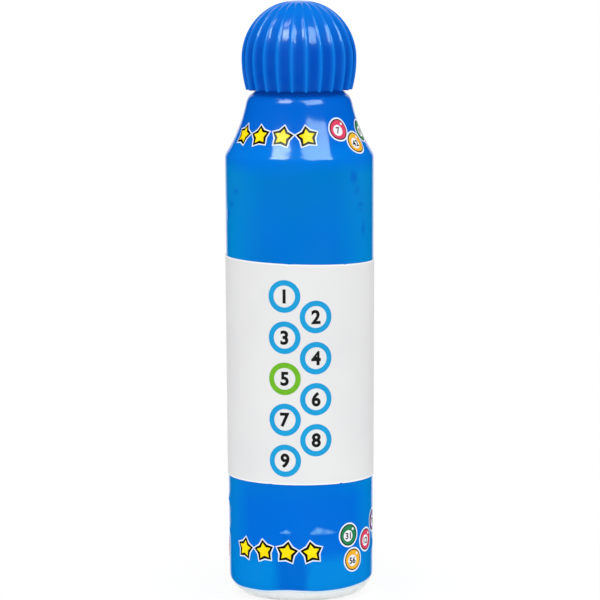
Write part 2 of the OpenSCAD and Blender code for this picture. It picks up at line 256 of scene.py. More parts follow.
# %% [markdown]
# ## The dark room
# A glossy blue film in an all-white room would look milky, because every part of it mirrors something
# white. Photographers hang black cloth round such a thing and leave an opening behind it. Here a large
# dark ball does that job: only mirror-like rays see it, and its opening behind the dauber keeps the
# thin bright line along each silhouette. It changes nothing in the even light.

# %% Hang the dark room
ROOM_R = 2.4
OPENING_HALF_A = 26
OPENING_TOP = 36
ROOM_STEP = 6

room_points, room_faces = [], []
for low in range(-90, 90, ROOM_STEP):
    for left in range(-180, 180, ROOM_STEP):
        behind = 180 - abs(left + ROOM_STEP / 2)
        if behind < OPENING_HALF_A and low < OPENING_TOP:
            continue
        right, high = left + ROOM_STEP, low + ROOM_STEP
        corners = [(left, low), (right, low), (right, high), (left, high)]
        room_faces.append([len(room_points) + k for k in range(4)])
        room_points += [ROOM_R * direction(*corner) for corner in corners]
room_mesh = bpy.data.meshes.new("dark_room")
room_mesh.from_pydata(room_points, [], room_faces)
room = put("dark_room", room_mesh)
for ray_kind in ("camera", "diffuse", "transmission", "volume_scatter", "shadow"):
    setattr(room, "visible_" + ray_kind, False)
room_material = bpy.data.materials.new("room_black")
room_tree = bare_tree(room_material)
cloth_black = add(room_tree, "BsdfDiffuse", {"Color": (0, 0, 0, 1)})
add(room_tree, "OutputMaterial", {"Surface": cloth_black.outputs[0]})
room_mesh.materials.append(room_material)
print("dark room:", len(room_faces), "panels")

# %% [markdown]
# ## From numbers to meshes
# Nearly everything on a dauber is turned on one axis, so most meshes here are skins over rings of
# points. Blender's Screw modifier could turn an outline too, but it can't give each column of the
# ring its own height, as a wavy film edge or a fluted cap needs. So the points are worked out with
# numpy, and one function joins them with quads. Angles are measured from the front, to the right.

# %% Mesh helpers
def polar(radius, angle, height):
    """Points at a radius, an angle from the front and a height."""
    radius, angle, height = np.broadcast_arrays(radius, angle, height)
    return np.stack([radius * np.sin(angle), -radius * np.cos(angle), height], axis=-1)


def turned(outline, angle):
    """Rings of points from an outline of radii and heights."""
    return polar(outline[:, :1], angle, outline[:, 1:])


def full_turn(columns):
    """Angles of the columns of a closed ring."""
    return np.arange(columns) * 2 * math.pi / columns


def skin(rings, ends):
    """Points and faces over rings of points. The ends are joined to each other ("loop"), closed by
    a point each ("poles") or closed by a flat face each ("flat")."""
    count, columns, _ = rings.shape
    points = rings.reshape(-1, 3).tolist()
    index = np.arange(count * columns).reshape(count, columns)
    if ends == "loop":
        index = np.vstack([index, index[:1]])
    beside = np.roll(index, -1, axis=1)
    quads = np.stack([index[:-1], beside[:-1], beside[1:], index[1:]], axis=-1)
    faces = quads.reshape(-1, 4).tolist()
    if ends == "flat":
        faces += [index[0][::-1].tolist(), index[-1].tolist()]
    if ends == "poles":
        first, last = len(points), len(points) + 1
        points += [rings[0].mean(axis=0).tolist(), rings[-1].mean(axis=0).tolist()]
        faces += [[first, b, a] for a, b in zip(index[0].tolist(), beside[0].tolist())]
        faces += [[last, a, b] for a, b in zip(index[-1].tolist(), beside[-1].tolist())]
    return points, faces


def add_piece(name, body, points, faces, material, slot, crease=None):
    """A smooth mesh object that rides on a body and has one material. Its slot argument is not used."""
    mesh = bpy.data.meshes.new(name)
    mesh.from_pydata(points, [], faces)
    mesh.shade_smooth()
    if crease:
        mesh.set_sharp_from_angle(angle=math.radians(crease))
    mesh.materials.append(material)
    piece = put(name, mesh)
    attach(piece, body)
    print("piece:", name, "on", body, "with", len(faces), "faces")
    return piece


def set_attribute(piece, name, values):
    """Stores a value for each vertex, for the material to read."""
    layer = piece.data.attributes.new(name, "FLOAT", "POINT")
    flat = np.zeros(len(piece.data.vertices), np.float32)
    flat[:values.size] = values.ravel()
    layer.data.foreach_set("value", flat)


def soften(points, radius, steps=4):
    """An open outline with its inner corners rounded."""
    points = [np.array(p, float) for p in points]
    out = [points[0]]
    for before, corner, after in zip(points, points[1:], points[2:]):
        reach = min(radius, np.linalg.norm(before - corner) / 2.2, np.linalg.norm(after - corner) / 2.2)
        start = corner + (before - corner) / np.linalg.norm(before - corner) * reach
        end = corner + (after - corner) / np.linalg.norm(after - corner) * reach
        for t in np.linspace(0, 1, steps + 1):
            out.append((1 - t) ** 2 * start + 2 * t * (1 - t) * corner + t ** 2 * end)
    return np.array(out + [points[-1]])


def along(points, step):
    """An outline with more points, none further apart than step."""
    points = np.array(points, float)
    out = [points[:1]]
    for a, b in zip(points, points[1:]):
        pieces = max(1, math.ceil(np.linalg.norm(b - a) / step))
        share = np.arange(1, pieces + 1)[:, None] / pieces
        out.append(a + (b - a) * share)
    return np.vstack(out)


def smoothstep(low, high, value):
    """A soft step from 0 at low to 1 at high."""
    t = np.clip((value - low) / (high - low), 0, 1)
    return t * t * (3 - 2 * t)


print("mesh helpers: polar, turned, skin, add_piece, soften, along, smoothstep")

# %% [markdown]
# ## Shared surface effects
# Three effects come back on several materials, so each is a node group, built once. Moulded plastic
# has a fine pebbled skin and slight flow marks. Shrink film and the ink printed in it share one slow
# waviness, which makes reflections wander. Printed ink is never quite even, so it gets a fine grain.

# %% Node groups
def new_group(name, inputs, outputs):
    """An empty node group with named number inputs and outputs."""
    group = bpy.data.node_groups.new(name, "ShaderNodeTree")
    for label, value in inputs.items():
        socket = group.interface.new_socket(label, in_out="INPUT", socket_type="NodeSocketFloat")
        socket.default_value = value
    for label in outputs:
        group.interface.new_socket(label, in_out="OUTPUT", socket_type="NodeSocketFloat")
    return group, group.nodes.new("NodeGroupInput").outputs, group.nodes.new("NodeGroupOutput").inputs


def moulded_skin_group():
    """Fine pebbling and flow marks of a moulded piece."""
    group, given, out = new_group("moulded_skin", {"Pebble Scale": 2500.0, "Flow Scale": 90.0},
                                  ["Height", "Tone"])
    coords = object_coords(group)
    pebble = noise(group, coords, given["Pebble Scale"], 3.0)
    flow = noise(group, coords, given["Flow Scale"], 4.0, 0.6)
    connect(group, out, Height=pebble, Tone=remap(group, flow, 0.3, 0.7))
    return group


def film_drape_group():
    """Slow waviness of shrink film, and how its gloss drifts."""
    group, given, out = new_group("film_drape", {"Wave Scale": 140.0}, ["Height", "Gloss"])
    coords = object_coords(group)
    wave = noise(group, coords, given["Wave Scale"])
    drift = noise(group, coords, 60.0, 3.0)
    connect(group, out, Height=wave, Gloss=remap(group, drift, 0.35, 0.7))
    return group


def ink_grain_group():
    """Small unevenness of printed ink."""
    group, given, out = new_group("ink_grain", {"Grain Scale": 3000.0}, ["Grain"])
    coords = object_coords(group)
    dots = noise(group, coords, given["Grain Scale"])
    blot = noise(group, coords, 400.0)
    both = calc(group, "ADD", dots, blot)
    connect(group, out, Grain=remap(group, both, 0.7, 1.3))
    return group


MOULDED_SKIN = moulded_skin_group()
FILM_DRAPE = film_drape_group()
INK_GRAIN = ink_grain_group()


def place_group(tree, group, **values):
    """A group in a material, with its own values."""
    node = tree.nodes.new("ShaderNodeGroup")
    node.node_tree = group
    for name, value in values.items():
        node.inputs[name.replace("_", " ")].default_value = value
    return node.outputs


def new_material(name, **constants):
    """A material with a Principled shader, whose plain numbers are set on its own sockets."""
    material = bpy.data.materials.new(name)
    material.use_nodes = True
    shader = material.node_tree.nodes["Principled BSDF"]
    for label, value in constants.items():
        shader.inputs[label.replace("_", " ")].default_value = value
    return material, material.node_tree, shader.inputs


def bump(tree, sockets, height, strength, distance):
    """Small relief on a shader's normal."""
    node = add(tree, "Bump", {"Strength": strength, "Distance": distance, "Height": height})
    connect(tree, sockets, Normal=node.outputs[0])


def moulded(name, dark, light, rough, pebble=2500.0, relief=0.1, **constants):
    """A moulded plastic or rubber, between two tones, between two roughnesses."""
    material, tree, sockets = new_material(name, **constants)
    skin_out = place_group(tree, MOULDED_SKIN, Pebble_Scale=pebble)
    tone = skin_out["Tone"]
    connect(tree, sockets, Base_Color=mix(tree, tone, dark, light),
            Roughness=remap(tree, tone, 0, 1, *rough))
    bump(tree, sockets, skin_out["Height"], relief, 0.02 * MM)
    return material


print("node groups:", ", ".join(g.name for g in (MOULDED_SKIN, FILM_DRAPE, INK_GRAIN)))

# %% [markdown]
# ## The side of the bottle as a curve
# Film, label and print all lie on the same side: a heel, a long slightly tapered wall, a flared
# shoulder and a rounded collar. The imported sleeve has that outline, in short straight steps. Reading
# it from the mesh keeps the film where the solid is, and a little blur turns the steps into curves.
# Below the solid's lower edge the curve goes on a little, for a clear margin under the blue print.

# %% Read the sleeve's outline
OUTWARD = 0.05
CLEAR_MARGIN = 0.3 * MM


def outer_outline(node):
    """Radius and height of the outer face of a turned node, from its foot up."""
    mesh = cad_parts[node].data
    found = {}
    for face in mesh.polygons:
        away = Vector((face.center.x, face.center.y, 0)).normalized()
        if face.normal.dot(away) > OUTWARD:
            for i in face.vertices:
                co = mesh.vertices[i].co
                found[round(co.z / MM, 4)] = math.hypot(co.x, co.y)
    return np.array([[found[height], height * MM] for height in sorted(found)])


class SideCurve:
    """A blurred outline, followed by its own length."""

    def __init__(self, points, step=0.2 * MM, blur=0.5 * MM):
        dense = along(points, step)
        width = math.ceil(3 * blur / step)
        weight = np.exp(-0.5 * (np.arange(-width, width + 1) * step / blur) ** 2)
        weight /= weight.sum()
        head = 2 * dense[0] - dense[width:0:-1]
        tail = 2 * dense[-1] - dense[-2:-width - 2:-1]
        padded = np.vstack([head, dense, tail])
        self.r, self.z = (np.convolve(padded[:, k], weight, "valid") for k in (0, 1))
        length = np.hypot(np.diff(self.r), np.diff(self.z))
        self.s = np.concatenate([[0], np.cumsum(length)])
        self.normal_r = np.gradient(self.z, self.s)
        self.normal_z = -np.gradient(self.r, self.s)

    def at(self, s):
        """Radius, height and the two parts of the normal at a length."""
        parts = (self.r, self.z, self.normal_r, self.normal_z)
        return [np.interp(s, self.s, part) for part in parts]

    def length_at(self, z):
        """The length from the hem to a height."""
        return float(np.interp(z, self.z, self.s))


sleeve_side = outer_outline("shrink_sleeve")
downward = sleeve_side[0] - sleeve_side[1]
clear_foot = sleeve_side[0] + downward / np.hypot(*downward) * CLEAR_MARGIN
side = SideCurve(np.vstack([clear_foot, sleeve_side]))
print("side curve:", round(side.s[-1] / MM, 1), "mm from hem to collar")

# %% [markdown]
# ## The shrink film
# A printed tube of thin film is slipped over the bottle and shrunk with heat. It follows the shoulder
# and the heel, but it never lies perfectly: the lower edge wanders, a few creases stay in the side,
# and a welded seam runs up the back. A smooth lathe would look like paint, so each column of the mesh
# gets its own lower edge, and small creases and pleats are added along the normal. Under the label,
# where nothing of this shows, the rows are further apart.

# %% Shape the film
FILM_COLUMNS = 380
FILM_ROW = 0.34 * MM
# Closer rows at the lower edge, in mm, for its pale line
FOOT_ROWS = [0, 0.15, 0.3, 0.4, 0.5, 0.6]
# Rows that the label covers, between edges that lie this far inside it
COVERED_ROWS = 20
COVER_MARGIN = 2 * MM
FILM_T = 0.14 * MM
INNER_ROW_SKIP = 10
# Slow ripples: turns round the bottle, radians a metre up, start and height in mm
RIPPLES = [(3, 60, 0, 0.012), (5, -85, 1, 0.0084)]
# Lower edge all round: angle from the front and how far the film is drawn up, in mm
HEM = [
    (-150, 0.5), (-120, 0.9), (-95, 1.1), (-82, 1.0), (-73, 0.8), (-69, 0.42), (-63, 0.05), (-58, 0),
    (-31, 0), (-25, 0.19), (-19.6, 0.41), (-14.5, 0.55), (-9.6, 0.64), (-4.8, 0.57), (0, 0.5),
    (4.8, 0.44), (9.7, 0.29), (14.6, 0.22), (25, 0.26), (36, 0.38), (42, 0.5), (49, 0.66), (54, 0.78),
    (60, 0.93), (65, 1.08), (69, 1.29), (75, 1.55), (90, 1.5), (115, 0.8), (140, 0.4), (160, 0.75),
    (185, 0.7),
]
HEM_BLUR = math.radians(2.5)
SEAM_ANGLE = math.radians(163)
SEAM_R = 17 * MM
SEAM_HALF_W = 2.6 * MM
SEAM_FADE = 0.5 * MM
SEAM_STEP = 0.07 * MM
# Creases: angle and height of the middle, half sizes across and up, and height of the fold
CREASES = [
    (-58, 96.2, 4.5, 0.8, 0.1), (-65, 93.2, 5.0, 0.9, 0.12), (-72, 90.6, 5.0, 1.2, 0.14),
    (46, 99.4, 4.6, 2.0, 0.12), (49.5, 96.2, 4.2, 1.0, 0.1), (54, 92.6, 5.2, 1.2, 0.12),
    (58, 87.6, 3.4, 2.2, 0.1), (-80, 22.0, 5.0, 1.2, 0.12), (-78, 14.5, 5.0, 1.0, 0.1),
    (83, 12.0, 5.0, 1.4, 0.12), (128, 95.0, 8.0, 1.0, 0.1), (-140, 20.0, 8.0, 1.1, 0.12),
    (-118, 98.0, 6.0, 0.9, 0.1),
]
# Pleats, steep above and drawn out below: angle, reach to the left and right, foot of the steep flank,
# its height, length of the ramp below and height of the fold
PLEATS = [
    (-11.5, 6.5, 5.5, 16.7, 1.1, 1.4, 0.38), (12, 5.5, 20.0, 16.6, 1.9, 1.6, 0.46),
    (-80, 5.0, 4.0, 23.0, 1.7, 1.5, 0.2), (-79, 4.0, 3.5, 15.6, 1.0, 1.2, 0.16),
    (-152, 6.0, 12.0, 17.0, 1.4, 1.6, 0.36),
]
# Where a steep flank gets a painted highlight: from its foot, up to its head and towards the pleat's
# ends
HIGHLIGHT_FOOT = (-0.05, 0.2)
HIGHLIGHT_HEAD = (0.65, 1.0)
HIGHLIGHT_ENDS = (0.02, 0.35)


def turn_gap(angle, middle):
    """Signed angle from a middle, the short way round."""
    return (angle - middle + math.pi) % (2 * math.pi) - math.pi


def crease_folds(angle, height):
    """Height of the small rounded creases."""
    folds = np.zeros(np.broadcast(angle, height).shape)
    for middle, z, half_a, half_h, fold in CREASES:
        across = turn_gap(angle, math.radians(middle)) / math.radians(half_a)
        up = (height - z * MM) / (half_h * MM)
        folds = folds + fold * MM * np.exp(-across ** 2 - up ** 2)
    return folds


def pleat_folds(angle, height):
    """Height of the pleats, whose steep flank gets lower towards both ends, and how strong the painted
    highlight on that flank is.
    """
    folds = np.zeros(np.broadcast(angle, height).shape)
    pale = np.zeros(folds.shape)
    for middle, left, right, z, flank, ramp, fold in PLEATS:
        across = np.degrees(turn_gap(angle, math.radians(middle)))
        size = np.clip(1 - np.where(across < 0, -across / left, across / right), 0.001, 1)
        above = (height - z * MM) / (flank * MM * size)
        below = smoothstep(-ramp * MM, 0, height - z * MM)
        folds = folds + fold * MM * smoothstep(0, 1, size) * (1 - smoothstep(0, 1, above)) * below
        # Painted highlight: the flank's mask, which the material turns paler
        flank_mask = smoothstep(*HIGHLIGHT_FOOT, above) * (1 - smoothstep(*HIGHLIGHT_HEAD, above))
        pale = np.maximum(pale, flank_mask * smoothstep(*HIGHLIGHT_ENDS, size))
    return folds, pale


def film_lift(angle, height):
    """How far the film stands off its smooth shape."""
    lift = crease_folds(angle, height) + pleat_folds(angle, height)[0]
    for turns, climb, start, size in RIPPLES:
        lift = lift + size * MM * np.sin(turns * angle + climb * height + start)
    from_seam = np.abs(turn_gap(angle, SEAM_ANGLE)) * SEAM_R
    return lift + SEAM_STEP * (1 - smoothstep(SEAM_HALF_W - SEAM_FADE, SEAM_HALF_W, from_seam))


def hem_wave(angle):
    """Length by which the film's lower edge is drawn up, all round."""
    turn, rise = np.array(HEM).T
    rise = np.interp(angle, np.radians(turn), rise, period=2 * math.pi)
    spread = np.exp(-0.5 * (turn_gap(angle[:, None], angle) / HEM_BLUR) ** 2)
    return (spread @ rise) / spread.sum(axis=1) * MM


film_angle = full_turn(FILM_COLUMNS)
hem = hem_wave(film_angle)
top = side.s[-1]
label_low, label_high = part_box("wrap_label")
covered = [side.length_at(label_low.z + COVER_MARGIN), side.length_at(label_high.z - COVER_MARGIN)]
film_rows = np.concatenate([
    np.array(FOOT_ROWS) * MM,
    np.arange(2 * FILM_ROW, covered[0], FILM_ROW),
    np.linspace(*covered, COVERED_ROWS),
    np.linspace(covered[1], top, math.ceil((top - covered[1]) / FILM_ROW))[1:],
])
film_s = hem + (top - hem) * film_rows[:, None] / top
r, z, normal_r, normal_z = side.at(film_s)
lift = film_lift(film_angle, z)
film_outer = polar(r + normal_r * lift, film_angle, z + normal_z * lift)
film_inner = polar(r - normal_r * FILM_T, film_angle, z - normal_z * FILM_T)
film_rings = np.concatenate([film_outer, film_inner[::-INNER_ROW_SKIP]])
print("film:", len(film_rows), "rows of", FILM_COLUMNS, "points")

# %% [markdown]
# ## The film's finish
# The film is a clear glossy skin with blue ink behind it. The ink looks deeper on the shoulder. Near the
# shoulder's corner a paler blue is painted light, and just under the cap, where the film is gathered at
# the neck, a deeper blue is painted shade. The sides and the heel are painted paler, as light from the
# sides, apart from one darker patch in front. So the blue is mixed by height, by the distance from the
# middle plane and by a slow noise. Thin film mirrors less than thick plastic, so its gloss level is low.
# The clear margin at the heel shows as a pale line, creases get painted shade and the flanks of pleats a
# painted highlight, and the mesh stores these three as masks.

# %% Film material
DEEP_BLUE = screen(0, 101, 210)
# Painted light: a paler blue near the shoulder's corner
CORNER_LIT_BLUE = screen(0, 119, 221)
CLEAR_BLUE = screen(0, 121, 199)
CLOUD_BLUE = screen(0, 113, 211)
# Painted light: the paler blues of the sides and the heel stand for light falling from the sides
SIDE_LIT_BLUE = screen(0, 137, 213)
LOW_BLUE = screen(0, 108, 215)
PALE_SIDE_LIT_BLUE = screen(0, 134, 219)
PATCH_BLUE = screen(0, 106, 206)
# Painted shade: a deeper blue just under the cap's rim
NECK_SHADE_BLUE = screen(0, 76, 188)
# Painted shade: a deeper blue in the creases
CREASE_SHADE_BLUE = screen(0, 94, 200)
# Painted highlight: a pale blue on the steep flanks of pleats, where a soft box would be mirrored
PLEAT_HIGHLIGHT_BLUE = screen(104, 170, 236)
HEM_LINE = screen(224, 244, 255)
FILM_GLOSS = 0.2
FILM_ROUGH = (0.07, 0.15)
SLEEVE_TUCK = 1.2 * MM
# Where one blue gives way to the next: heights, and distances from the middle plane
WANDER = 1.2 * MM
CLOUD_FADE = (98 * MM, 82 * MM)
SIDE_LIGHT_FADE = (8 * MM, 16.5 * MM)
CORNER_LIGHT_FADE = (109.5 * MM, 106 * MM)
SHOULDER_FADE = (100 * MM, 103.2 * MM)
NECK_SHADE_FADE = 0.6 * MM
LOW_FADE = (30 * MM, 24 * MM)
LOW_SIDE_LIGHT_FADE = (12 * MM, 16.5 * MM)
PATCH_X = -2 * MM
PATCH_FADE = (2.6 * MM, 5 * MM)
HEEL_FADE = (13 * MM, 9.5 * MM)
# Marks by stored mask: range of a fine noise and share of the tone that it gives, then the tone
# Both marks are painted light: shade in the creases and a highlight on the pleats' flanks
FILM_MARKS = [
    ("crease", (0.35, 0.65, 0.1, 0.75), CREASE_SHADE_BLUE), ("pleat_highlight", (0.3, 0.7, 0.4, 1.0), PLEAT_HIGHLIGHT_BLUE),
]
CLEAR_EDGE = (0.4 * MM, 0.55 * MM)
CREASE_SHADE_RANGE = (0.01 * MM, 0.12 * MM)


def film_surface(tree, sockets):
    """The gloss and waviness that film and print share."""
    drape = place_group(tree, FILM_DRAPE)
    connect(tree, sockets, Roughness=remap(tree, drape["Gloss"], 0, 1, *FILM_ROUGH))
    bump(tree, sockets, drape["Height"], 0.1, 0.05 * MM)


def film_material():
    """Blue film, whose blues follow height and width, with painted light and shade, and the marks on
    top.
    """
    material, tree, sockets = new_material("sleeve_film_blue", Specular_IOR_Level=FILM_GLOSS)
    coords = object_coords(tree)
    axes = add(tree, "SeparateXYZ", {0: coords}).outputs
    slow = noise(tree, coords, 38.0)
    wander = remap(tree, noise(tree, coords, 160.0, 3.0), 0.25, 0.75, -WANDER, WANDER)
    x, z = (calc(tree, "ADD", axes[axis], wander) for axis in "XZ")
    off_middle = calc(tree, "ABSOLUTE", axes["X"])
    cloud = calc(tree, "ADD", remap(tree, slow, 0.36, 0.64), remap(tree, z, *CLOUD_FADE, -0.3, 0.5))
    drift = remap(tree, slow, 0.3, 0.7, -0.25, 0.25)
    # Painted light: paler blue away from the middle plane, as if lit from the sides
    sides = calc(tree, "ADD", remap(tree, off_middle, *SIDE_LIGHT_FADE), drift)
    body = mix(tree, sides, mix(tree, cloud, CLEAR_BLUE, CLOUD_BLUE), SIDE_LIT_BLUE)
    # Painted light: the blue grows paler towards the shoulder's corner
    shoulder = mix(tree, remap(tree, z, *CORNER_LIGHT_FADE), DEEP_BLUE, CORNER_LIT_BLUE)
    blue = mix(tree, remap(tree, z, *SHOULDER_FADE), body, shoulder)
    # Painted shade: the film darkens just below the cap, where it is gathered at the neck
    neck_z = side.z[-1] - SLEEVE_TUCK
    blue = mix(tree, remap(tree, axes["Z"], neck_z - NECK_SHADE_FADE, neck_z), blue, NECK_SHADE_BLUE)
    # Painted light: the low band and the heel are paler at the sides, darker in one patch in front
    low = mix(tree, remap(tree, off_middle, *LOW_SIDE_LIGHT_FADE), LOW_BLUE, PALE_SIDE_LIT_BLUE)
    blue = mix(tree, remap(tree, z, *LOW_FADE), blue, low)
    off_patch = calc(tree, "ABSOLUTE", calc(tree, "SUBTRACT", x, PATCH_X))
    heel = mix(tree, remap(tree, off_patch, *PATCH_FADE), PATCH_BLUE, PALE_SIDE_LIT_BLUE)
    blue = mix(tree, remap(tree, z, *HEEL_FADE), blue, heel)
    fine = noise(tree, coords, 700.0)
    # Painted light from the stored masks: shade in creases, a highlight on pleat flanks
    for mask, share, tone in FILM_MARKS:
        amount = calc(tree, "MULTIPLY", attribute(tree, mask), remap(tree, fine, *share))
        blue = mix(tree, amount, blue, tone)
    connect(tree, sockets, Base_Color=mix(tree, attribute(tree, "cut_edge"), blue, HEM_LINE))
    film_surface(tree, sockets)
    return material


film = add_piece("film_sleeve", "bottle", *skin(film_rings, "loop"), film_material(), "sleeve_film")
set_attribute(film, "cut_edge", 1 - smoothstep(*CLEAR_EDGE, film_s - hem))
# The pleat mask carries a painted highlight
set_attribute(film, "pleat_highlight", pleat_folds(film_angle, z)[1])
# The crease mask carries painted shade for the creases
set_attribute(film, "crease", smoothstep(*CREASE_SHADE_RANGE, crease_folds(film_angle, z)))
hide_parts("shrink_sleeve")

# %% [markdown]
# ## The label
# A white label is wrapped once round the sleeve and meets itself at the back with a small gap. It was
# put on a little askew: both edges slope down to the right, and there are tiny nicks in them. The mesh
# is a thin closed band, so the edges have a real thickness that catches the light.

# %% Shape the label
LABEL_TILT = 0.56 * MM
LABEL_DROP = 0.39 * MM
FOOT_TILT = 0.14 * MM
FOOT_LIFT = 0.084 * MM
LABEL_T = 0.14 * MM
LABEL_GAP = 1.2 * MM
LABEL_COLUMNS = 380
# Closer rows at both edges, in mm, then the other rows and the share of the height where they start
EDGE_ROWS = [0.0, 0.1, 0.22, 0.4, 0.8]
LABEL_ROWS = 48
ROWS_START = 0.03
# Nicks: angle, lower (-1) or upper (1) edge, height in mm and half width in degrees
NICKS = [(33, -1, 0.22, 0.9), (-24, -1, 0.1, 1.6), (37, 1, -0.16, 0.8), (-8, 1, -0.08, 2.5)]

label_off = label_high.x - float(np.interp([label_low.z, label_high.z], side.z, side.r).max())
label_gap = LABEL_GAP / label_high.x
label_angle = np.linspace(-math.pi + label_gap / 2, math.pi - label_gap / 2, LABEL_COLUMNS)


def label_edge(which, angle):
    """Height of the label's lower (-1) or upper (1) edge, all round."""
    z = label_low.z + FOOT_LIFT - FOOT_TILT * np.sin(angle)
    if which > 0:
        z = label_high.z - LABEL_DROP - LABEL_TILT * np.sin(angle)
    for middle, side_of, bite, width in NICKS:
        if side_of == which:
            across = turn_gap(angle, math.radians(middle)) / math.radians(width)
            z = z + bite * MM * np.exp(-across ** 2)
    return z


def label_side(angle, z, off):
    """Points on the label's face, or off it."""
    return polar(np.interp(z, side.z, side.r) + label_off + off, angle, z)


foot, head = label_edge(-1, label_angle), label_edge(1, label_angle)
near = np.array(EDGE_ROWS) * MM
middle = np.linspace(ROWS_START, 1 - ROWS_START, LABEL_ROWS)
label_z = np.vstack([
    foot + near[:, None],
    foot + (head - foot) * middle[:, None],
    head - near[::-1, None],
])
label_outer = label_side(label_angle, label_z, 0)
label_inner = label_side(label_angle, label_z, -LABEL_T)[::-1]
label_rings = np.concatenate([label_outer, label_inner]).transpose(1, 0, 2)[::-1]
print("label:", len(label_z), "rows of", LABEL_COLUMNS, "points, tilt", LABEL_TILT / MM, "mm")

# %% [markdown]
# ## The label's finish
# The label is coated white stock: nearly matt, with a soft sheen, a trace of fibre under the coating
# and a painted highlight: a clean bright line along each cut edge, where the coating is rounded and
# faces the light.

# %% Label material
LABEL_WHITE = screen(231, 231, 231)
LABEL_SHADE = screen(227, 227, 228)
# Painted highlight: the brighter white of the cut edges
LABEL_EDGE_HIGHLIGHT = screen(252, 252, 252)
PAPER_GLOSS = 0.2
PAPER_ROUGH = (0.42, 0.56)
EDGE_HIGHLIGHT_RANGE = (0.12 * MM, 0.4 * MM)


def label_material():
    """White stock with a trace of fibre and a painted highlight along its cut edges."""
    material, tree, sockets = new_material("label_coated_white", Specular_IOR_Level=PAPER_GLOSS)
    coords = object_coords(tree)
    fibre = noise(tree, coords, 900.0, 5.0, 1.2)
    cloud = noise(tree, coords, 55.0)
    tone = mix(tree, remap(tree, cloud, 0.35, 0.65), LABEL_WHITE, LABEL_SHADE)
    connect(tree, sockets, Base_Color=mix(tree, attribute(tree, "cut_edge"), tone, LABEL_EDGE_HIGHLIGHT),
            Roughness=remap(tree, fibre, 0.3, 0.7, *PAPER_ROUGH))
    bump(tree, sockets, fibre, 0.12, 0.02 * MM)
    return material


label = add_piece("label_band", "bottle", *skin(label_rings, "flat"), label_material(), "label_film",
                  crease=50)
# Painted highlight: a bright band along both cut edges
rim = np.minimum(label_z - foot, head - label_z)
edge_highlight_mask = 1 - smoothstep(*EDGE_HIGHLIGHT_RANGE, rim)
edge_highlight_mask = np.concatenate([edge_highlight_mask, edge_highlight_mask[::-1]]).T[::-1]
set_attribute(label, "cut_edge", edge_highlight_mask)
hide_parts("wrap_label")

# %% [markdown]
# ## Print on curved walls
# The print on the film and the label is ink, a few hundredths of a millimetre proud. Image textures
# would blur and are not used here, so each mark is a flat shape, cut into small cells and bent onto the
# side curve. A shape has a layer: halo, outline, fill, inset and figure lie on top of each other.
# Figures come from Blender's own font, turned to mesh and wrapped in the same way.

# %% Print helpers
INK_LAYER = 0.018 * MM
INK_ROOT = 0.06 * MM
CELL = 0.5 * MM
PRINT_CREASE = 40
# Size of the font for figures of height 1
FONT_SIZE = 1.4


def circle(turn, reach):
    """Flat points at angles and distances from the middle."""
    return np.stack([reach * np.cos(turn), reach * np.sin(turn)], axis=-1)


def disc(radius, sides=40):
    """A round shape, as points and faces."""
    return circle(full_turn(sides), radius), [list(range(sides))]


def band(outer, inner, sides=64):
    """A flat ring."""
    turn = full_turn(sides)
    faces = [[i, (i + 1) % sides, sides + (i + 1) % sides, sides + i] for i in range(sides)]
    return np.vstack([circle(turn, outer), circle(turn, inner)]), faces


def star(radius, waist, tips=5):
    """A star with its first tip up."""
    turn = math.pi / 2 + full_turn(2 * tips)
    reach = np.where(np.arange(2 * tips) % 2, radius * waist, radius)
    return circle(turn, reach), [list(range(2 * tips))]


def figure(text, height, bolder=0.03):
    """Plain numbers in Blender's own font, centred, with their strokes made bolder."""
    curve = bpy.data.curves.new("figure", "FONT")
    curve.body = text
    curve.align_x = "CENTER"
    curve.align_y = "CENTER"
    curve.size = height * FONT_SIZE
    curve.offset = bolder * height
    curve.resolution_u = 4
    holder = put("figure", curve)
    bpy.context.view_layer.update()
    depsgraph = bpy.context.evaluated_depsgraph_get()
    mesh = bpy.data.meshes.new_from_object(holder.evaluated_get(depsgraph))
    points = np.array([v.co[:2] for v in mesh.vertices])
    points -= (points.min(axis=0) + points.max(axis=0)) / 2
    faces = [list(p.vertices) for p in mesh.polygons]
    bpy.data.objects.remove(holder)
    bpy.data.curves.remove(curve)
    bpy.data.meshes.remove(mesh)
    return points, faces


def lay_ink(bm, shape, layer, ink, x=0.0, y=0.0, turn=0.0):
    """Puts a flat shape into a print, at a place, on a layer and with an ink."""
    points, faces = shape
    c, s = math.cos(math.radians(turn)), math.sin(math.radians(turn))
    lift = (layer + 1) * INK_LAYER
    made = [bm.verts.new((x + c * px - s * py, y + s * px + c * py, lift)) for px, py in points]
    for face in faces:
        bm.faces.new([made[i] for i in face]).material_index = ink


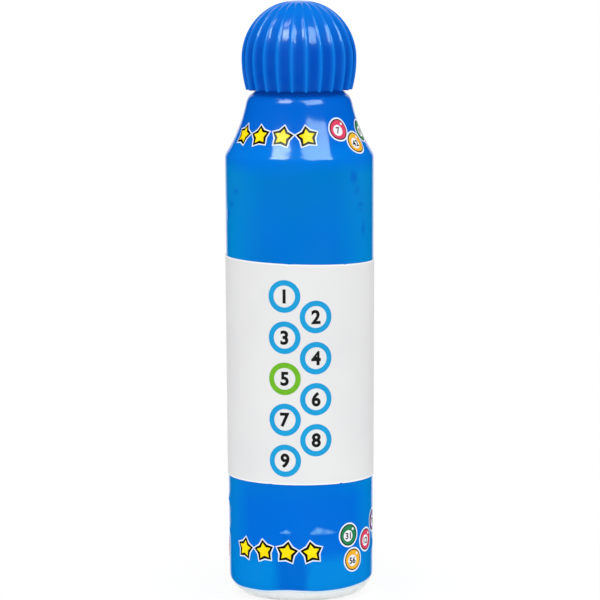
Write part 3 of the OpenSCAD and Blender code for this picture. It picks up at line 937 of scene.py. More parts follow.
def wrap_print(name, bm, place, inks):
    """Cuts a print into cells, gives it thickness, bends it by place(x, y, off) and adds it."""
    for axis in (0, 1):
        values = [v.co[axis] for v in bm.verts]
        for k in range(math.ceil(min(values) / CELL), math.floor(max(values) / CELL) + 1):
            cut = Vector((0, 0, 0))
            cut[axis] = k * CELL
            normal = Vector((1 - axis, axis, 0))
            everything = bm.verts[:] + bm.edges[:] + bm.faces[:]
            bmesh.ops.bisect_plane(bm, geom=everything, plane_co=cut, plane_no=normal)
    bmesh.ops.triangulate(bm, faces=bm.faces[:])
    roots = set(bm.verts)
    bmesh.ops.extrude_face_region(bm, geom=bm.faces[:], use_keep_orig=True)
    for vert in roots:
        vert.co.z = -INK_ROOT
    flat = np.array([v.co for v in bm.verts])
    for vert, co in zip(bm.verts, place(*flat.T)):
        vert.co = co
    bmesh.ops.recalc_face_normals(bm, faces=bm.faces[:])
    mesh = bpy.data.meshes.new(name)
    bm.to_mesh(mesh)
    bm.free()
    for ink in inks:
        mesh.materials.append(ink)
    mesh.shade_smooth()
    mesh.set_sharp_from_angle(angle=math.radians(PRINT_CREASE))
    piece = put(name, mesh)
    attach(piece, "bottle")
    print("print:", name, "with", len(mesh.polygons), "faces")
    return piece


def on_film(angle, height):
    """A placing function for print on the film, about an angle in degrees and a height."""
    middle_s = side.length_at(height)
    middle_r = side.at(middle_s)[0]

    def place(x, y, off):
        """Points of a flat print, bent onto the film."""
        a = math.radians(angle) + x / middle_r
        r, z, normal_r, normal_z = side.at(middle_s + y)
        off = off + film_lift(a, z)
        return polar(r + normal_r * off, a, z + normal_z * off)

    return place


def on_label(x, y, off):
    """The placing function for print on the label: x from the front, y is the height."""
    return label_side(x / label_high.x, y, off)


print("print helpers: disc, band, star, figure, lay_ink, wrap_print")

# %% [markdown]
# ## Inks
# Ink lies on the film with a fine grain in its colour, and it mirrors less than bare film does, so the
# print stays crisp where a soft box is mirrored. Ink on the label takes the label's softer sheen.

# %% Ink materials
INK_GLOSS = 0.06
PAPER_INK_ROUGH = (0.3, 0.42)


def ink_material(name, colour, deeper, on_paper=False):
    """A printed colour that drifts a little towards a deeper one."""
    gloss = PAPER_GLOSS if on_paper else INK_GLOSS
    material, tree, sockets = new_material(name, Specular_IOR_Level=gloss)
    grain = place_group(tree, INK_GRAIN)["Grain"]
    connect(tree, sockets, Base_Color=mix(tree, grain, colour, deeper))
    if on_paper:
        connect(tree, sockets, Roughness=remap(tree, grain, 0, 1, *PAPER_INK_ROUGH))
    else:
        film_surface(tree, sockets)
    return material


FILM_INKS = {
    "halo": ink_material("ink_halo", screen(236, 242, 252), screen(222, 232, 250)),
    "black": ink_material("ink_outline", screen(26, 26, 20), screen(14, 14, 12)),
    "yellow": ink_material("ink_yellow", screen(255, 234, 24), screen(250, 214, 12)),
    "gold": ink_material("ink_gold", screen(248, 190, 62), screen(238, 170, 40)),
    "pink": ink_material("ink_pink", screen(228, 82, 112), screen(214, 58, 94)),
    "green": ink_material("ink_green", screen(48, 140, 92), screen(34, 122, 76)),
    "purple": ink_material("ink_purple", screen(126, 78, 160), screen(108, 62, 144)),
    "white": ink_material("ink_white", screen(246, 246, 248), screen(234, 234, 240)),
}
INK_INDEX = {name: index for index, name in enumerate(FILM_INKS)}
LABEL_INKS = [
    ink_material("ink_sky", screen(16, 163, 221), screen(8, 152, 212), on_paper=True),
    ink_material("ink_text", screen(20, 20, 22), screen(30, 30, 32), on_paper=True),
    ink_material("ink_leaf", screen(118, 190, 40), screen(104, 178, 28), on_paper=True),
]
print("inks:", len(FILM_INKS), "on the film,", len(LABEL_INKS), "on the label")

# %% [markdown]
# ## Stars and numbered balls on the film
# Two bands of print run round the film, one on the shoulder and one above the heel. Rows of bold
# yellow stars with a black outline and a pale halo alternate with clusters of game balls that carry
# plain numbers. One function draws a row of stars and one draws a ball, and both bands use them.

# %% Print the film
STAR_PITCH = 5.8 * MM
# Layers of a star: ink, radius of the tips and share of it that the notches keep
STAR_LAYERS = [("halo", 3.1 * MM, 0.68), ("black", 2.7 * MM, 0.65), ("yellow", 1.95 * MM, 0.56)]
STAR_SWAY = 8
STARS_IN_ROW = 4
BALL_R = 2.4 * MM
# Layers of a ball: ink, where "colour" is its own, and share of the radius
BALL_LAYERS = [("halo", 1.22), ("black", 1.06), ("colour", 0.95)]
# By share of the radius: white disc with its shift, figure on it, and white glint with its shift
DISC_SIZE, DISC_X, DISC_Y = 0.56, -0.1, -0.08
FIGURE_SIZE = 0.62
GLINT_SIZE, GLINT_X, GLINT_Y = 0.13, 0.5, 0.55
GLINT_SIDES = 16


def star_row(count):
    """A row of stars, tilted to and fro."""
    bm = bmesh.new()
    for i in range(count):
        x = (i - (count - 1) / 2) * STAR_PITCH
        turn = STAR_SWAY if i % 2 else -STAR_SWAY
        for layer, (ink, radius, waist) in enumerate(STAR_LAYERS):
            lay_ink(bm, star(radius, waist), layer, INK_INDEX[ink], x, 0, turn)
    return bm


def ball_cluster(balls):
    """Balls given by place, colour and number."""
    bm = bmesh.new()
    for x, y, colour, number in balls:
        x, y = x * MM, y * MM
        for layer, (ink, size) in enumerate(BALL_LAYERS):
            ink = colour if ink == "colour" else ink
            lay_ink(bm, disc(BALL_R * size), layer, INK_INDEX[ink], x, y)
        inset = (x + DISC_X * BALL_R, y + DISC_Y * BALL_R)
        glint = (x + GLINT_X * BALL_R, y + GLINT_Y * BALL_R)
        on_top = len(BALL_LAYERS)
        lay_ink(bm, disc(DISC_SIZE * BALL_R), on_top, INK_INDEX["white"], *inset)
        lay_ink(bm, figure(number, FIGURE_SIZE * BALL_R), on_top + 1, INK_INDEX["black"], *inset)
        lay_ink(bm, disc(GLINT_SIZE * BALL_R, GLINT_SIDES), on_top, INK_INDEX["white"], *glint)
    return bm


SHOULDER_Z = 109.0 * MM
HEEL_BAND_Z = 12.3 * MM
# Prints by angle and height of the middle, and balls by place in mm, colour and number
FILM_STARS = [
    ("shoulder_stars_front", -27, SHOULDER_Z), ("shoulder_stars_back", 153, SHOULDER_Z),
    ("heel_stars_front", -21, HEEL_BAND_Z), ("heel_stars_back", 159, HEEL_BAND_Z),
]
FILM_BALLS = [
    ("shoulder_balls_right", 58, SHOULDER_Z, [
        (-4.6, 1.5, "pink", "7"), (-0.2, -2.0, "gold", "42"), (4.9, 0.6, "green", "19")]),
    ("shoulder_balls_left", -121, SHOULDER_Z, [
        (-4.8, 1.4, "green", "28"), (0.0, -1.8, "purple", "65"), (4.8, 1.0, "gold", "3")]),
    ("heel_balls_right", 58, HEEL_BAND_Z, [
        (-5.0, 3.4, "green", "31"), (-3.6, -2.6, "gold", "56"), (1.6, 1.4, "pink", "12"),
        (6.6, 5.2, "purple", "70")]),
    ("heel_balls_left", -108, HEEL_BAND_Z, [
        (-5.6, -2.4, "gold", "44"), (-0.4, 2.2, "green", "9"), (5.2, -1.6, "pink", "23")]),
]
film_inks = list(FILM_INKS.values())
for name, angle, height in FILM_STARS:
    wrap_print(name, star_row(STARS_IN_ROW), on_film(angle, height), film_inks)
for name, angle, height, balls in FILM_BALLS:
    wrap_print(name, ball_cluster(balls), on_film(angle, height), film_inks)

# %% [markdown]
# ## The printed label
# The label carries nine sky blue rings with plain numbers, set to the left and right in turn like balls
# that rise in a tube. The ring in the middle is green. All of them are one flat print, wrapped once.

# %% Print the label
RING_COUNT = 9
RING_SWAY = 3.7 * MM
RING_PITCH = 4.8 * MM
RING_R = 3.8 * MM
RING_STROKE = 1.25 * MM
RING_FIGURE_H = 3.1 * MM
RING_FIGURE_BOLD = 0.05
RINGS_MIDDLE = 53.2 * MM
SKY, TEXT, LEAF = range(len(LABEL_INKS))

label_bm = bmesh.new()
for i in range(RING_COUNT):
    from_middle = i - RING_COUNT // 2
    ring_x = RING_SWAY if i % 2 else -RING_SWAY
    ring_y = RINGS_MIDDLE - from_middle * RING_PITCH
    ring_ink = SKY if from_middle else LEAF
    lay_ink(label_bm, band(RING_R, RING_R - RING_STROKE), 0, ring_ink, ring_x, ring_y)
    lay_ink(label_bm, figure(str(i + 1), RING_FIGURE_H, RING_FIGURE_BOLD), 0, TEXT, ring_x, ring_y)
wrap_print("label_print", label_bm, on_label, LABEL_INKS)

# %% [markdown]
# ## The cap
# The screw cap is a dome on a skirt that swells out and in again, fluted all round so that fingers
# can grip it. Each flute is a shallow scoop between two narrow rounded ribs, and it fades out towards
# the crown. At the rim the ribs end in small points below the scooped wall. An array of one cut
# flute would leave hard edges, so the scoop is a formula of angle and slope, pressed into the dome.

# %% Shape the cap
FLUTES = 24
FLUTE_COLUMNS = 22
CREST_SHARE = 0.045
SCOOP_POWER = 3.6
COLUMN_CROWDING = 1.6
RIB_HALF_A = math.radians(1.91)
CAP_BULGE = 1.0 * MM
RIM_LIFT = 0.16 * MM
CROWN_DROP = 0.2 * MM
FLUTE_DEPTH = 0.55 * MM
FLUTE_FADE = 0.45 * MM
CROWN_SPOT = (1.6 * MM, 5.0 * MM)
CROWN_R = 7.5 * MM
CROWN_SLOPE = math.radians(89.2)
SKIRT_RINGS = 26
DOME_RINGS = 60
RIM_SHARE = 0.7
RIM_FADE = 2.2 * MM
# The scoop is blurred on a fine ring: its steps in a flute, and the blur in steps
FINE_STEPS = 200
SCOOP_BLUR = 5

cap_low, cap_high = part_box("cap")
dome_r = cap_high.x / math.cos(math.pi / FLUTES - RIB_HALF_A)
dome_z = cap_high.z - dome_r
skirt_h = dome_z - cap_low.z
skirt_r = (skirt_h ** 2 + CAP_BULGE ** 2) / (2 * CAP_BULGE)
rim_slope = math.asin(skirt_h / skirt_r)


def cap_crest(slope):
    """Radius and height of a rib's crest where the wall faces up by slope."""
    on_dome = slope > 0
    r = np.where(on_dome, dome_r * np.cos(slope), dome_r - skirt_r * (1 - np.cos(slope)))
    z = np.where(on_dome, dome_z + dome_r * np.sin(slope), dome_z + skirt_r * np.sin(slope))
    return r, z


def from_crest(angle):
    """Share of a flute between an angle and the nearest crest, 0 to 0.5."""
    return np.abs((angle * FLUTES / (2 * math.pi)) % 1 - 0.5)


def scoop(angle):
    """Depth of the flutes round the cap, from 0 on a crest to 1 in the middle of a flute."""
    u = np.clip((from_crest(angle) - CREST_SHARE) / (0.5 - CREST_SHARE), 0, 1)
    return 1 - (1 - u) ** SCOOP_POWER


fine = full_turn(FLUTES * FINE_STEPS)
blur = np.exp(-0.5 * (np.arange(-4 * SCOOP_BLUR, 4 * SCOOP_BLUR + 1) / SCOOP_BLUR) ** 2)
fine_scoop = np.convolve(np.tile(scoop(fine), 3), blur / blur.sum(), "same")[fine.size:2 * fine.size]
fine_scoop = (fine_scoop - fine_scoop.min()) / np.ptp(fine_scoop)
spread = np.linspace(-1, 1, FLUTE_COLUMNS, endpoint=False)
spread = np.sign(spread) * np.abs(spread) ** COLUMN_CROWDING
cap_angle = ((np.arange(FLUTES)[:, None] + 0.5 + spread / 2) * 2 * math.pi / FLUTES).ravel()
flute = np.interp(cap_angle, fine, fine_scoop, period=2 * math.pi)
skirt_slopes = np.linspace(-rim_slope, 0, SKIRT_RINGS)[:-1]
slopes = np.concatenate([skirt_slopes, np.linspace(0, CROWN_SLOPE, DOME_RINGS)])[:, None]
crest_r, crest_z = cap_crest(slopes)
crest_z = crest_z - CROWN_DROP * (1 - smoothstep(0, CROWN_R, crest_r))
depth = (FLUTE_DEPTH - FLUTE_FADE * np.sin(slopes)) * smoothstep(*CROWN_SPOT, crest_r)
rim_wave = RIM_LIFT * smoothstep(0, RIM_SHARE, flute)
rim_rise = rim_wave * (1 - smoothstep(0, RIM_FADE, crest_z - cap_low.z))
cap_outer = polar(crest_r - depth * flute * np.cos(slopes), cap_angle,
                  crest_z - depth * flute * np.sin(slopes) + rim_rise)
print("cap: dome radius", round(dome_r / MM, 2), "mm,", FLUTES, "flutes of", FLUTE_COLUMNS, "columns")

# %% [markdown]
# ## Inside the cap
# Under the dome a round rib presses the sealing ring down, and a bead in the bore keeps that ring
# from falling out. The inside is one more outline, from the middle of the dome down to the rim, and
# it is joined to the fluted outside at the rim so that the cap is one closed mesh.

# %% Close the cap
BORE_R = 10.8 * MM
INNER_DOME_R = 11.9 * MM
PRESS_RIB = (8.15 * MM, 9.35 * MM)
BEAD_R = 10.3 * MM
BEAD_H = 0.9 * MM
SEAT_GAP = 0.1 * MM
RIM_ROUND = 0.3 * MM
RIM_BLEND = 0.6 * MM
INNER_RIM_SHARE = 0.6
LIP_DROP = 0.02 * MM
INSIDE_ROUND = 0.2 * MM
INSIDE_STEP = 1.6 * MM
ARC_R = np.linspace(0.3, 8.0, 9) * MM

gasket_low, gasket_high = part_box("cap_gasket")


def inner_dome(radius):
    """Height of the inside of the dome at a radius."""
    return dome_z + math.sqrt(INNER_DOME_R ** 2 - radius ** 2)


bead_top = gasket_low.z - SEAT_GAP
rib_foot = gasket_high.z + SEAT_GAP
dome_arc = [(q, inner_dome(q)) for q in ARC_R]
inside = dome_arc + [
    (PRESS_RIB[0], inner_dome(PRESS_RIB[0])),
    (PRESS_RIB[0], rib_foot),
    (PRESS_RIB[1], rib_foot),
    (PRESS_RIB[1], inner_dome(PRESS_RIB[1])),
    (BORE_R, inner_dome(BORE_R)),
    (BORE_R, bead_top),
    (BEAD_R, bead_top),
    (BEAD_R, bead_top - BEAD_H + (BORE_R - BEAD_R)),
    (BORE_R, bead_top - BEAD_H),
    (BORE_R, cap_low.z + RIM_ROUND),
    (BORE_R + RIM_ROUND, cap_low.z),
]
inside = along(soften(inside, INSIDE_ROUND, steps=3), INSIDE_STEP)
rim_near = smoothstep(cap_low.z + RIM_BLEND, cap_low.z, inside[:, 1:])
cap_inner = polar(inside[:, :1], cap_angle, inside[:, 1:] + rim_near * rim_wave * INNER_RIM_SHARE)
edge_r, edge_z = cap_crest(np.array([[-rim_slope]]))
lip_r = edge_r - depth[0] * flute - RIM_ROUND
lip = polar(lip_r, cap_angle, edge_z + rim_wave - LIP_DROP)
cap_rings = np.concatenate([cap_inner, lip, cap_outer])
print("cap inside:", len(inside), "rings, lip and", len(cap_outer), "outer rings")

# %% [markdown]
# ## The cap's finish
# The cap is royal blue polypropylene, which lets a little light in. Its thin ribs get a painted
# highlight, paler than the deep wall of the flutes, and the crown gets painted light from above, paler
# than the skirt. The mesh stores how near a point is to a crest, and the material mixes three blues by
# that mask and by height, with a faint skin. Hands rub the ribs first, so the same mask makes them a
# little duller than the flutes.

# %% Cap material
CAP_DEEP = screen(0, 77, 187)
# Painted highlight: the paler blue of the rib crests, which the random flow marks also drift towards
CAP_CREST_LIGHT_AND_FLOW = screen(0, 121, 226)
# Painted light: the crown paler than the skirt, as if lit from above
CAP_CROWN_LIGHT = screen(0, 117, 223)
CREST_LIGHT_SHARE = 0.2
CREST_WEAR = 0.05
CREST_DEPTH = (0.03 * MM, 0.3 * MM)
CROWN_LIGHT_FADE = (dome_z + 2 * MM, cap_high.z - 1.5 * MM)
FLOW_SHARE = 0.1
CAP_ROUGH = (0.12, 0.2)


def cap_material():
    """Royal blue plastic, with a painted highlight on the ribs and painted light on the crown."""
    material, tree, sockets = new_material("cap_royal_blue", Specular_IOR_Level=FILM_GLOSS)
    skin_out = place_group(tree, MOULDED_SKIN, Pebble_Scale=1800.0, Flow_Scale=120.0)
    height = add(tree, "SeparateXYZ", {0: object_coords(tree)}).outputs["Z"]
    # Painted light: paler blue towards the crown
    crown_light = remap(tree, height, *CROWN_LIGHT_FADE)
    crest = attribute(tree, "rib_crest")
    wall = mix(tree, crown_light, CAP_DEEP, CAP_CROWN_LIGHT)
    # Painted highlight: ribs paler than the flutes
    blue = mix(tree, crest, wall, CAP_CREST_LIGHT_AND_FLOW)
    flow = remap(tree, skin_out["Tone"], 0, 1, 0.0, FLOW_SHARE)
    worn = remap(tree, crest, 0.1, 0.8, 0, CREST_WEAR)
    rough = calc(tree, "ADD", remap(tree, skin_out["Tone"], 0, 1, *CAP_ROUGH), worn)
    connect(tree, sockets, Base_Color=mix(tree, flow, blue, CAP_CREST_LIGHT_AND_FLOW), Roughness=rough)
    bump(tree, sockets, skin_out["Height"], 0.08, 0.01 * MM)
    return material


cap_blue = cap_material()
cap = add_piece("fluted_cap", "cap", *skin(cap_rings, "poles"), cap_blue, "cap_plastic", crease=60)
# The crest mask carries the painted highlight of the ribs
crest_light = 0.5 * (1 - flute) ** 1.5 + 0.5 * np.exp(-(from_crest(cap_angle) / CREST_LIGHT_SHARE) ** 2)
crest_light_mask = crest_light * smoothstep(*CREST_DEPTH, depth)
inner_mask = np.zeros((len(cap_inner) + 1, cap_angle.size))
set_attribute(cap, "rib_crest", np.concatenate([inner_mask, crest_light_mask]))
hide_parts("cap")

# %% [markdown]
# ## Screw threads
# A quick two-start thread holds the cap: two ridges on the neck and two in the cap, each climbing
# 6 mm a turn, with the cap's ridges in the gaps between the neck's. A ridge is a small trapezoid swept
# along a helix, and it tapers to nothing at both ends, as a mould cutter leaves it.

# %% Sweep the threads
LEAD = 6.0 * MM
STARTS = 2
NECK_R = 9.7 * MM
THREAD_H = 0.78 * MM
THREAD_FOOT_W = 1.25 * MM
THREAD_TIP_W = 0.55 * MM
THREAD_ROOT = 0.1 * MM
# Where a ridge has tapered out: share of its height and of its width that is left
END_H = 0.03
END_W = 0.4
NECK_TURN = math.radians(232)
CAP_TURN = math.radians(250)
THREAD_DROP = 4.6 * MM
THREAD_TAPER = math.radians(24)
RIDGE_STEP = math.radians(4)


def thread_ridge(wall_r, start_angle, foot_z, turn, inward):
    """Rings of one ridge on a wall, climbing from foot_z through turn."""
    t = np.arange(0, turn + RIDGE_STEP / 2, RIDGE_STEP)[:, None]
    fade = np.minimum(smoothstep(0, THREAD_TAPER, t), smoothstep(turn, turn - THREAD_TAPER, t))
    fade = np.maximum(fade, END_H)
    off = np.where([False, True, True, False], THREAD_H * fade, -THREAD_ROOT)
    width = np.array([-THREAD_FOOT_W, -THREAD_TIP_W, THREAD_TIP_W, THREAD_FOOT_W])
    up = width / 2 * (END_W + (1 - END_W) * fade)
    radius = wall_r - off if inward else wall_r + off
    return polar(radius, start_angle + t, foot_z + LEAD * t / (2 * math.pi) + up)


def thread(name, body, wall_r, foot_z, turn, material, slot, inward=False):
    """A thread of several equal starts as one piece."""
    points, faces = [], []
    for k in range(STARTS):
        ridge = thread_ridge(wall_r, k * 2 * math.pi / STARTS, foot_z, turn, inward)
        if not inward:
            ridge = ridge[:, ::-1]
        more_points, more_faces = skin(ridge, "flat")
        faces += [[i + len(points) for i in face] for face in more_faces]
        points += more_points
    return add_piece(name, body, points, faces, material, slot, crease=35)


bottle_white = moulded("bottle_white", screen(244, 247, 246), screen(250, 252, 251), (0.24, 0.34),
                       relief=0.08, Specular_IOR_Level=0.3)
bottle_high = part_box("bottle")[1]
thread_foot = bottle_high.z - THREAD_DROP
between = thread_foot + LEAD / STARTS / 2
thread("neck_thread", "bottle", NECK_R, thread_foot, NECK_TURN, bottle_white, "bottle_plastic")
thread("cap_thread", "cap", BORE_R, between, CAP_TURN, cap_blue, "cap_plastic", inward=True)

# %% [markdown]
# ## The bottle itself
# Only the white heel shows while the cap is on, and it has to be as smooth as the blown one. So the
# bottle is turned once more, with a finely stepped heel, along the same side curve a film's thickness
# further in. Its outline runs from the hollow of the base round the outside and up to the neck, then
# back down the inside, so the shell is closed and really hollow.

# %% Turn the bottle
HEEL_R = 5.0 * MM
FOOT_W = 1.8 * MM
PUSH_UP = 1.4 * MM
WALL = 1.2 * MM
NECK_WALL = 1.45 * MM
UNDER_FILM = 0.2 * MM
WALL_STEP = 1.5 * MM
AXIS_R = 0.3 * MM
BASE_RINGS = 14
HEEL_BLEND = 0.6 * MM
COLLAR_BLEND = 0.9 * MM
NECK_ROUND = 0.25 * MM
ROOF_STEP = 0.3 * MM
BOTTLE_COLUMNS = 256

heel_s = side.length_at(HEEL_R)
heel_x = float(side.at(heel_s)[0]) - UNDER_FILM - HEEL_R
hollow_r = heel_x - FOOT_W
collar_roof = side.z[-1] - SLEEVE_TUCK - WALL


def hollow_z(radius):
    """Height of the hollow under the base at a radius."""
    return PUSH_UP * max(0.0, 1 - (radius / hollow_r) ** 2)


def heel_arc(radius, steps=24):
    """Points round the heel, from the foot to the side."""
    turn = np.linspace(-math.pi / 2, 0, steps)
    return [(heel_x + radius * math.cos(a), HEEL_R + radius * math.sin(a)) for a in turn]


def wall_points(inset, low_s, high_s):
    """Points up the side, at a depth under the film's face."""
    steps = math.ceil((high_s - low_s) / WALL_STEP)
    r, z, normal_r, normal_z = side.at(np.linspace(low_s, high_s, steps))
    return list(zip(r - normal_r * inset, z - normal_z * inset))


base_r = np.linspace(AXIS_R, hollow_r, BASE_RINGS)
outside = [(q, hollow_z(q)) for q in base_r]
outside += heel_arc(HEEL_R)
outside += wall_points(UNDER_FILM, heel_s + HEEL_BLEND, side.s[-1] - COLLAR_BLEND)
neck_edge = [(NECK_R, side.z[-1]), (NECK_R, bottle_high.z), (NECK_R - NECK_WALL, bottle_high.z),
             (NECK_R - NECK_WALL, collar_roof), (NECK_R - ROOF_STEP, collar_roof)]
outside += [tuple(p) for p in along(soften(neck_edge, NECK_ROUND), WALL_STEP)]
inner_s = side.length_at(collar_roof - HEEL_BLEND)
inside_wall = wall_points(UNDER_FILM + WALL, heel_s + HEEL_BLEND, inner_s)[::-1]
inside_wall += heel_arc(HEEL_R - WALL)[::-1]
inside_wall += [(q, hollow_z(q) + WALL) for q in base_r[::-1]]
bottle_rings = turned(np.array(outside + inside_wall), full_turn(BOTTLE_COLUMNS))
bottle = add_piece("bottle_shell", "bottle", *skin(bottle_rings, "poles"), bottle_white,
                   "bottle_plastic", crease=50)
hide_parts("bottle")

# %% [markdown]
# ## The weld under the base
# Blow moulding pinches the tube of hot plastic shut, which leaves a low welt across the hollow of the
# base. It is a small bar, swept along the hollow's own curve and fading out at both ends.

# %% Add the welt
WELT_REACH = 8.4 * MM
WELT_W = 0.9 * MM
WELT_H = 0.22 * MM
WELT_END_H = 0.01 * MM
WELT_ROOT = 0.1 * MM
WELT_STEPS = 41

welt = []
for x in np.linspace(-WELT_REACH, WELT_REACH, WELT_STEPS):
    fade = float(smoothstep(WELT_REACH, 0.8 * WELT_REACH, abs(x)))
    down = WELT_H * fade + WELT_END_H
    half = WELT_W / 2 * (0.5 + 0.5 * fade)
    bar = [(-half, WELT_ROOT), (-half / 2, -down), (half / 2, -down), (half, WELT_ROOT)]
    welt.append([(x, y, hollow_z(abs(x)) + lift) for y, lift in bar])
add_piece("base_welt", "bottle", *skin(np.array(welt), "flat"), bottle_white, "bottle_plastic",
          crease=50)

# %% [markdown]
# ## The dabbing tip
# The tip is a soft foam pad under a fine woven cover, held at its edge by a ring. The cover is one
# sheet of cloth, drawn tight over the dome and turned out under the ring's lip. Both are turned
# outlines, and the foam's skin is pushed in and out a little, cell by cell, with a fixed seed.

# %% Shape the tip
TIP_R = 7.4 * MM
COVER_T = 0.3 * MM
TIP_COLUMNS = 160
CROWN_A = math.radians(88.5)
TIP_RINGS = 26
TIP_ROUND = 0.15 * MM
CLOTH_STEP = 0.4 * MM
PAD_STEP = 0.5 * MM
HEM_RISE = 0.35 * MM
# Gaps of the cloth's and the pad's edges to the ring, and of the pad to the cloth's edge and dome
CLOTH_GAP = 0.02 * MM
PAD_GAP = 0.05 * MM
PAD_DROP = 0.02 * MM
DOME_GAP = 0.08 * MM
PORE_SEED = 7
PORE_DEPTH = 0.012

cover_low, cover_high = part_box("tip_cover")
pad_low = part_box("foam_pad")[0]
ring_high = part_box("retaining_ring")[1]
tip_angle = full_turn(TIP_COLUMNS)
hem_r = cover_high.x
tip_rise = cover_high.z - ring_high.z


def tip_outline(inset, hem_z):
    """Outline of the tip from the middle of its dome down and out to its edge."""
    r, rise = TIP_R - inset, tip_rise - inset
    quarter = np.linspace(CROWN_A, 0, TIP_RINGS)
    dome = [(r * math.cos(q), ring_high.z + rise * math.sin(q)) for q in quarter]
    return dome + [(r, hem_z), (hem_r - CLOTH_GAP, hem_z)]


hem_top = cover_low.z + HEM_RISE
outer_cloth = along(soften(tip_outline(0, hem_top), TIP_ROUND), CLOTH_STEP)
inner_cloth = along(soften(tip_outline(COVER_T, hem_top - COVER_T), TIP_ROUND), CLOTH_STEP)
cloth_rings = turned(np.concatenate([inner_cloth, outer_cloth[::-1]]), tip_angle)
pad_r, pad_top = hem_r - PAD_GAP, cover_low.z - PAD_DROP
pad_edge = [(pad_r, pad_top), (pad_r, pad_low.z), (AXIS_R, pad_low.z)]
pad_dome = tip_outline(COVER_T + DOME_GAP, pad_top)[:-1]
pad_rings = turned(along(soften((pad_dome + pad_edge)[::-1], TIP_ROUND), PAD_STEP), tip_angle)
pores = np.random.default_rng(PORE_SEED).random(pad_rings.shape[:2])
inward = pad_rings * [1, 1, 0]
pad_rings = pad_rings - inward * (pores[..., None] ** 3) * PORE_DEPTH
print("tip: dome", round(tip_rise / MM, 2), "mm high,", TIP_COLUMNS, "columns")

# %% [markdown]
# ## Cloth and foam
# The cover is plain-woven nylon. Two sine waves at right angles make over and under threads, and
# their crossing drives both the relief and the shade. It has taken up blue ink, most in the middle.
# The foam below is open-celled, so its finish is a cell texture with dark pores.

# %% Tip materials
THREADS_PER_M = 2600.0
CLOTH_PALE = screen(70, 122, 196)
CLOTH_INKED = screen(14, 62, 158)
CLOTH_SHADE = screen(4, 26, 84)
DRY_FADE = (3 * MM, 8.5 * MM)
FOAM_PORE = screen(120, 150, 196)
FOAM_WALL = screen(196, 206, 220)


def weave_material():
    """Woven nylon, stained most in the middle."""
    material, tree, sockets = new_material("tip_woven_nylon", Specular_IOR_Level=0.3, Sheen_Weight=0.25)
    coords = object_coords(tree)
    axes = add(tree, "SeparateXYZ", {0: coords}).outputs
    turns = [calc(tree, "MULTIPLY", axes[axis], THREADS_PER_M * math.pi) for axis in "XY"]
    warp, weft = (calc(tree, "SINE", turn) for turn in turns)
    threads = remap(tree, calc(tree, "MULTIPLY", warp, weft), -0.6, 0.6)
    level = add(tree, "CombineXYZ", {0: axes["X"], 1: axes["Y"]}).outputs[0]
    away = add(tree, "VectorMath", {0: level}, operation="LENGTH").outputs["Value"]
    stain = noise(tree, coords, 420.0, 3.0)
    dry = calc(tree, "ADD", remap(tree, away, *DRY_FADE), remap(tree, stain, 0.3, 0.7, -0.3, 0.3))
    blue = mix(tree, dry, CLOTH_INKED, CLOTH_PALE)
    shade = mix(tree, remap(tree, threads, 0, 1, 0.45, 0.0), blue, CLOTH_SHADE)
    connect(tree, sockets, Base_Color=shade, Roughness=remap(tree, threads, 0, 1, 0.85, 0.6))
    bump(tree, sockets, threads, 0.6, 0.06 * MM)
    return material


def foam_material():
    """Open cells with dark pores."""
    material, tree, sockets = new_material("tip_open_foam", Specular_IOR_Level=0.15)
    cells = add(tree, "TexVoronoi", {"Vector": object_coords(tree), "Scale": 1500.0})
    pore = remap(tree, cells.outputs["Distance"], 0.2, 0.6)
    connect(tree, sockets, Base_Color=mix(tree, pore, FOAM_PORE, FOAM_WALL),
            Roughness=remap(tree, pore, 0, 1, 0.95, 0.8))
    bump(tree, sockets, pore, 0.7, 0.15 * MM)
    return material


cloth = add_piece("tip_cloth", "tip", *skin(cloth_rings, "loop"), weave_material(), "tip_weave")
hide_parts("tip_cover")
foam = add_piece("foam_core", "tip", *skin(pad_rings, "poles"), foam_material(), "tip_foam")
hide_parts("foam_pad")

# %% [markdown]
# ## The valve's spring
# A small coil spring under the tip pushes it up again after each dab. It stands between the floor of
# the applicator and the tip's platform. The wire is a round tube swept along a helix.

# %% Coil the spring
WIRE_R = 0.3 * MM
SPRING_TURNS = 6
WIRE_SIDES = 14
STEPS_PER_TURN = 48
WIRE_GREY = screen(176, 178, 180)
WIRE_PALE = screen(206, 207, 208)

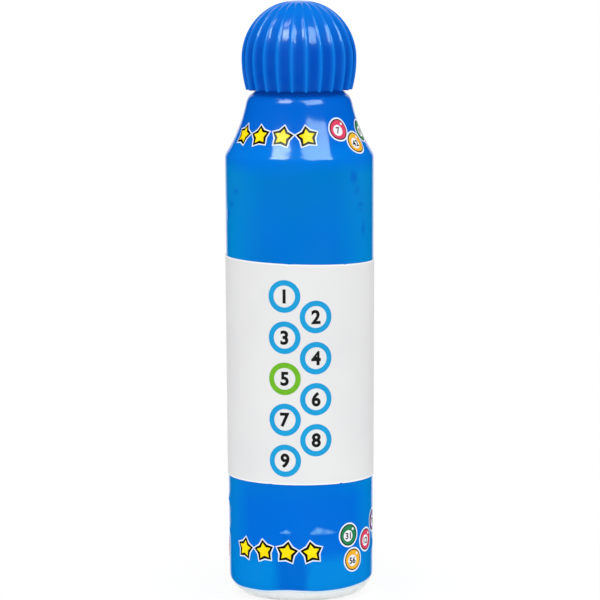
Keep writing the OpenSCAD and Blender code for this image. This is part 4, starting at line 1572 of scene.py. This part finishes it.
spring_low, spring_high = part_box("valve_spring")
coil_r = spring_high.x - WIRE_R
wire_t = np.linspace(0, 2 * math.pi * SPRING_TURNS, SPRING_TURNS * STEPS_PER_TURN + 1)[:, None]
wire_span = spring_high.z - spring_low.z - 2 * WIRE_R
wire_z = spring_low.z + WIRE_R + wire_span * wire_t / wire_t[-1]
around = full_turn(WIRE_SIDES)
wire_rings = polar(coil_r + WIRE_R * np.cos(around), wire_t + math.pi / 2,
                   wire_z + WIRE_R * np.sin(around))


def wire_material():
    """Drawn steel with an uneven polish."""
    material, tree, sockets = new_material("spring_drawn_wire", Metallic=1.0)
    draw = noise(tree, object_coords(tree), 1400.0, 4.0)
    connect(tree, sockets, Base_Color=mix(tree, draw, WIRE_GREY, WIRE_PALE),
            Roughness=remap(tree, draw, 0.3, 0.7, 0.22, 0.36))
    return material


spring = add_piece("coil_spring", "bottle", *skin(wire_rings[:, ::-1], "flat"), wire_material(),
                   "spring_wire", crease=60)
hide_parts("valve_spring")
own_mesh(spring)

# %% [markdown]
# ## The fitment and seals
# The plug with its cup, the ring, the valve and the sealing washers are plain turned mouldings, and
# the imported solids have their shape. They stay, and get the finish of natural polyethylene, of
# rubber and of soft white sealing foam, all from the moulded skin with other values.

# %% Finish the fitment
def finish_node(node, material):
    """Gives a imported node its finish."""
    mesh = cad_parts[node].data
    mesh.materials.clear()
    mesh.materials.append(material)
    print("finish:", node, "in", material.name)


natural = moulded("fitment_natural", screen(226, 224, 214), screen(238, 236, 228), (0.3, 0.42),
                  relief=0.12, Specular_IOR_Level=0.3)
rubber = moulded("seal_rubber_black", screen(22, 22, 23), screen(38, 38, 40), (0.55, 0.7),
                 pebble=4000.0, relief=0.25)
sealing = moulded("gasket_soft_white", screen(232, 232, 230), screen(242, 242, 240), (0.5, 0.62),
                  pebble=3200.0, relief=0.2)
for node in ("applicator_housing", "retaining_ring", "valve_plunger", "valve_disc"):
    finish_node(node, natural)
finish_node("valve_seal", rubber)
finish_node("cap_gasket", sealing)
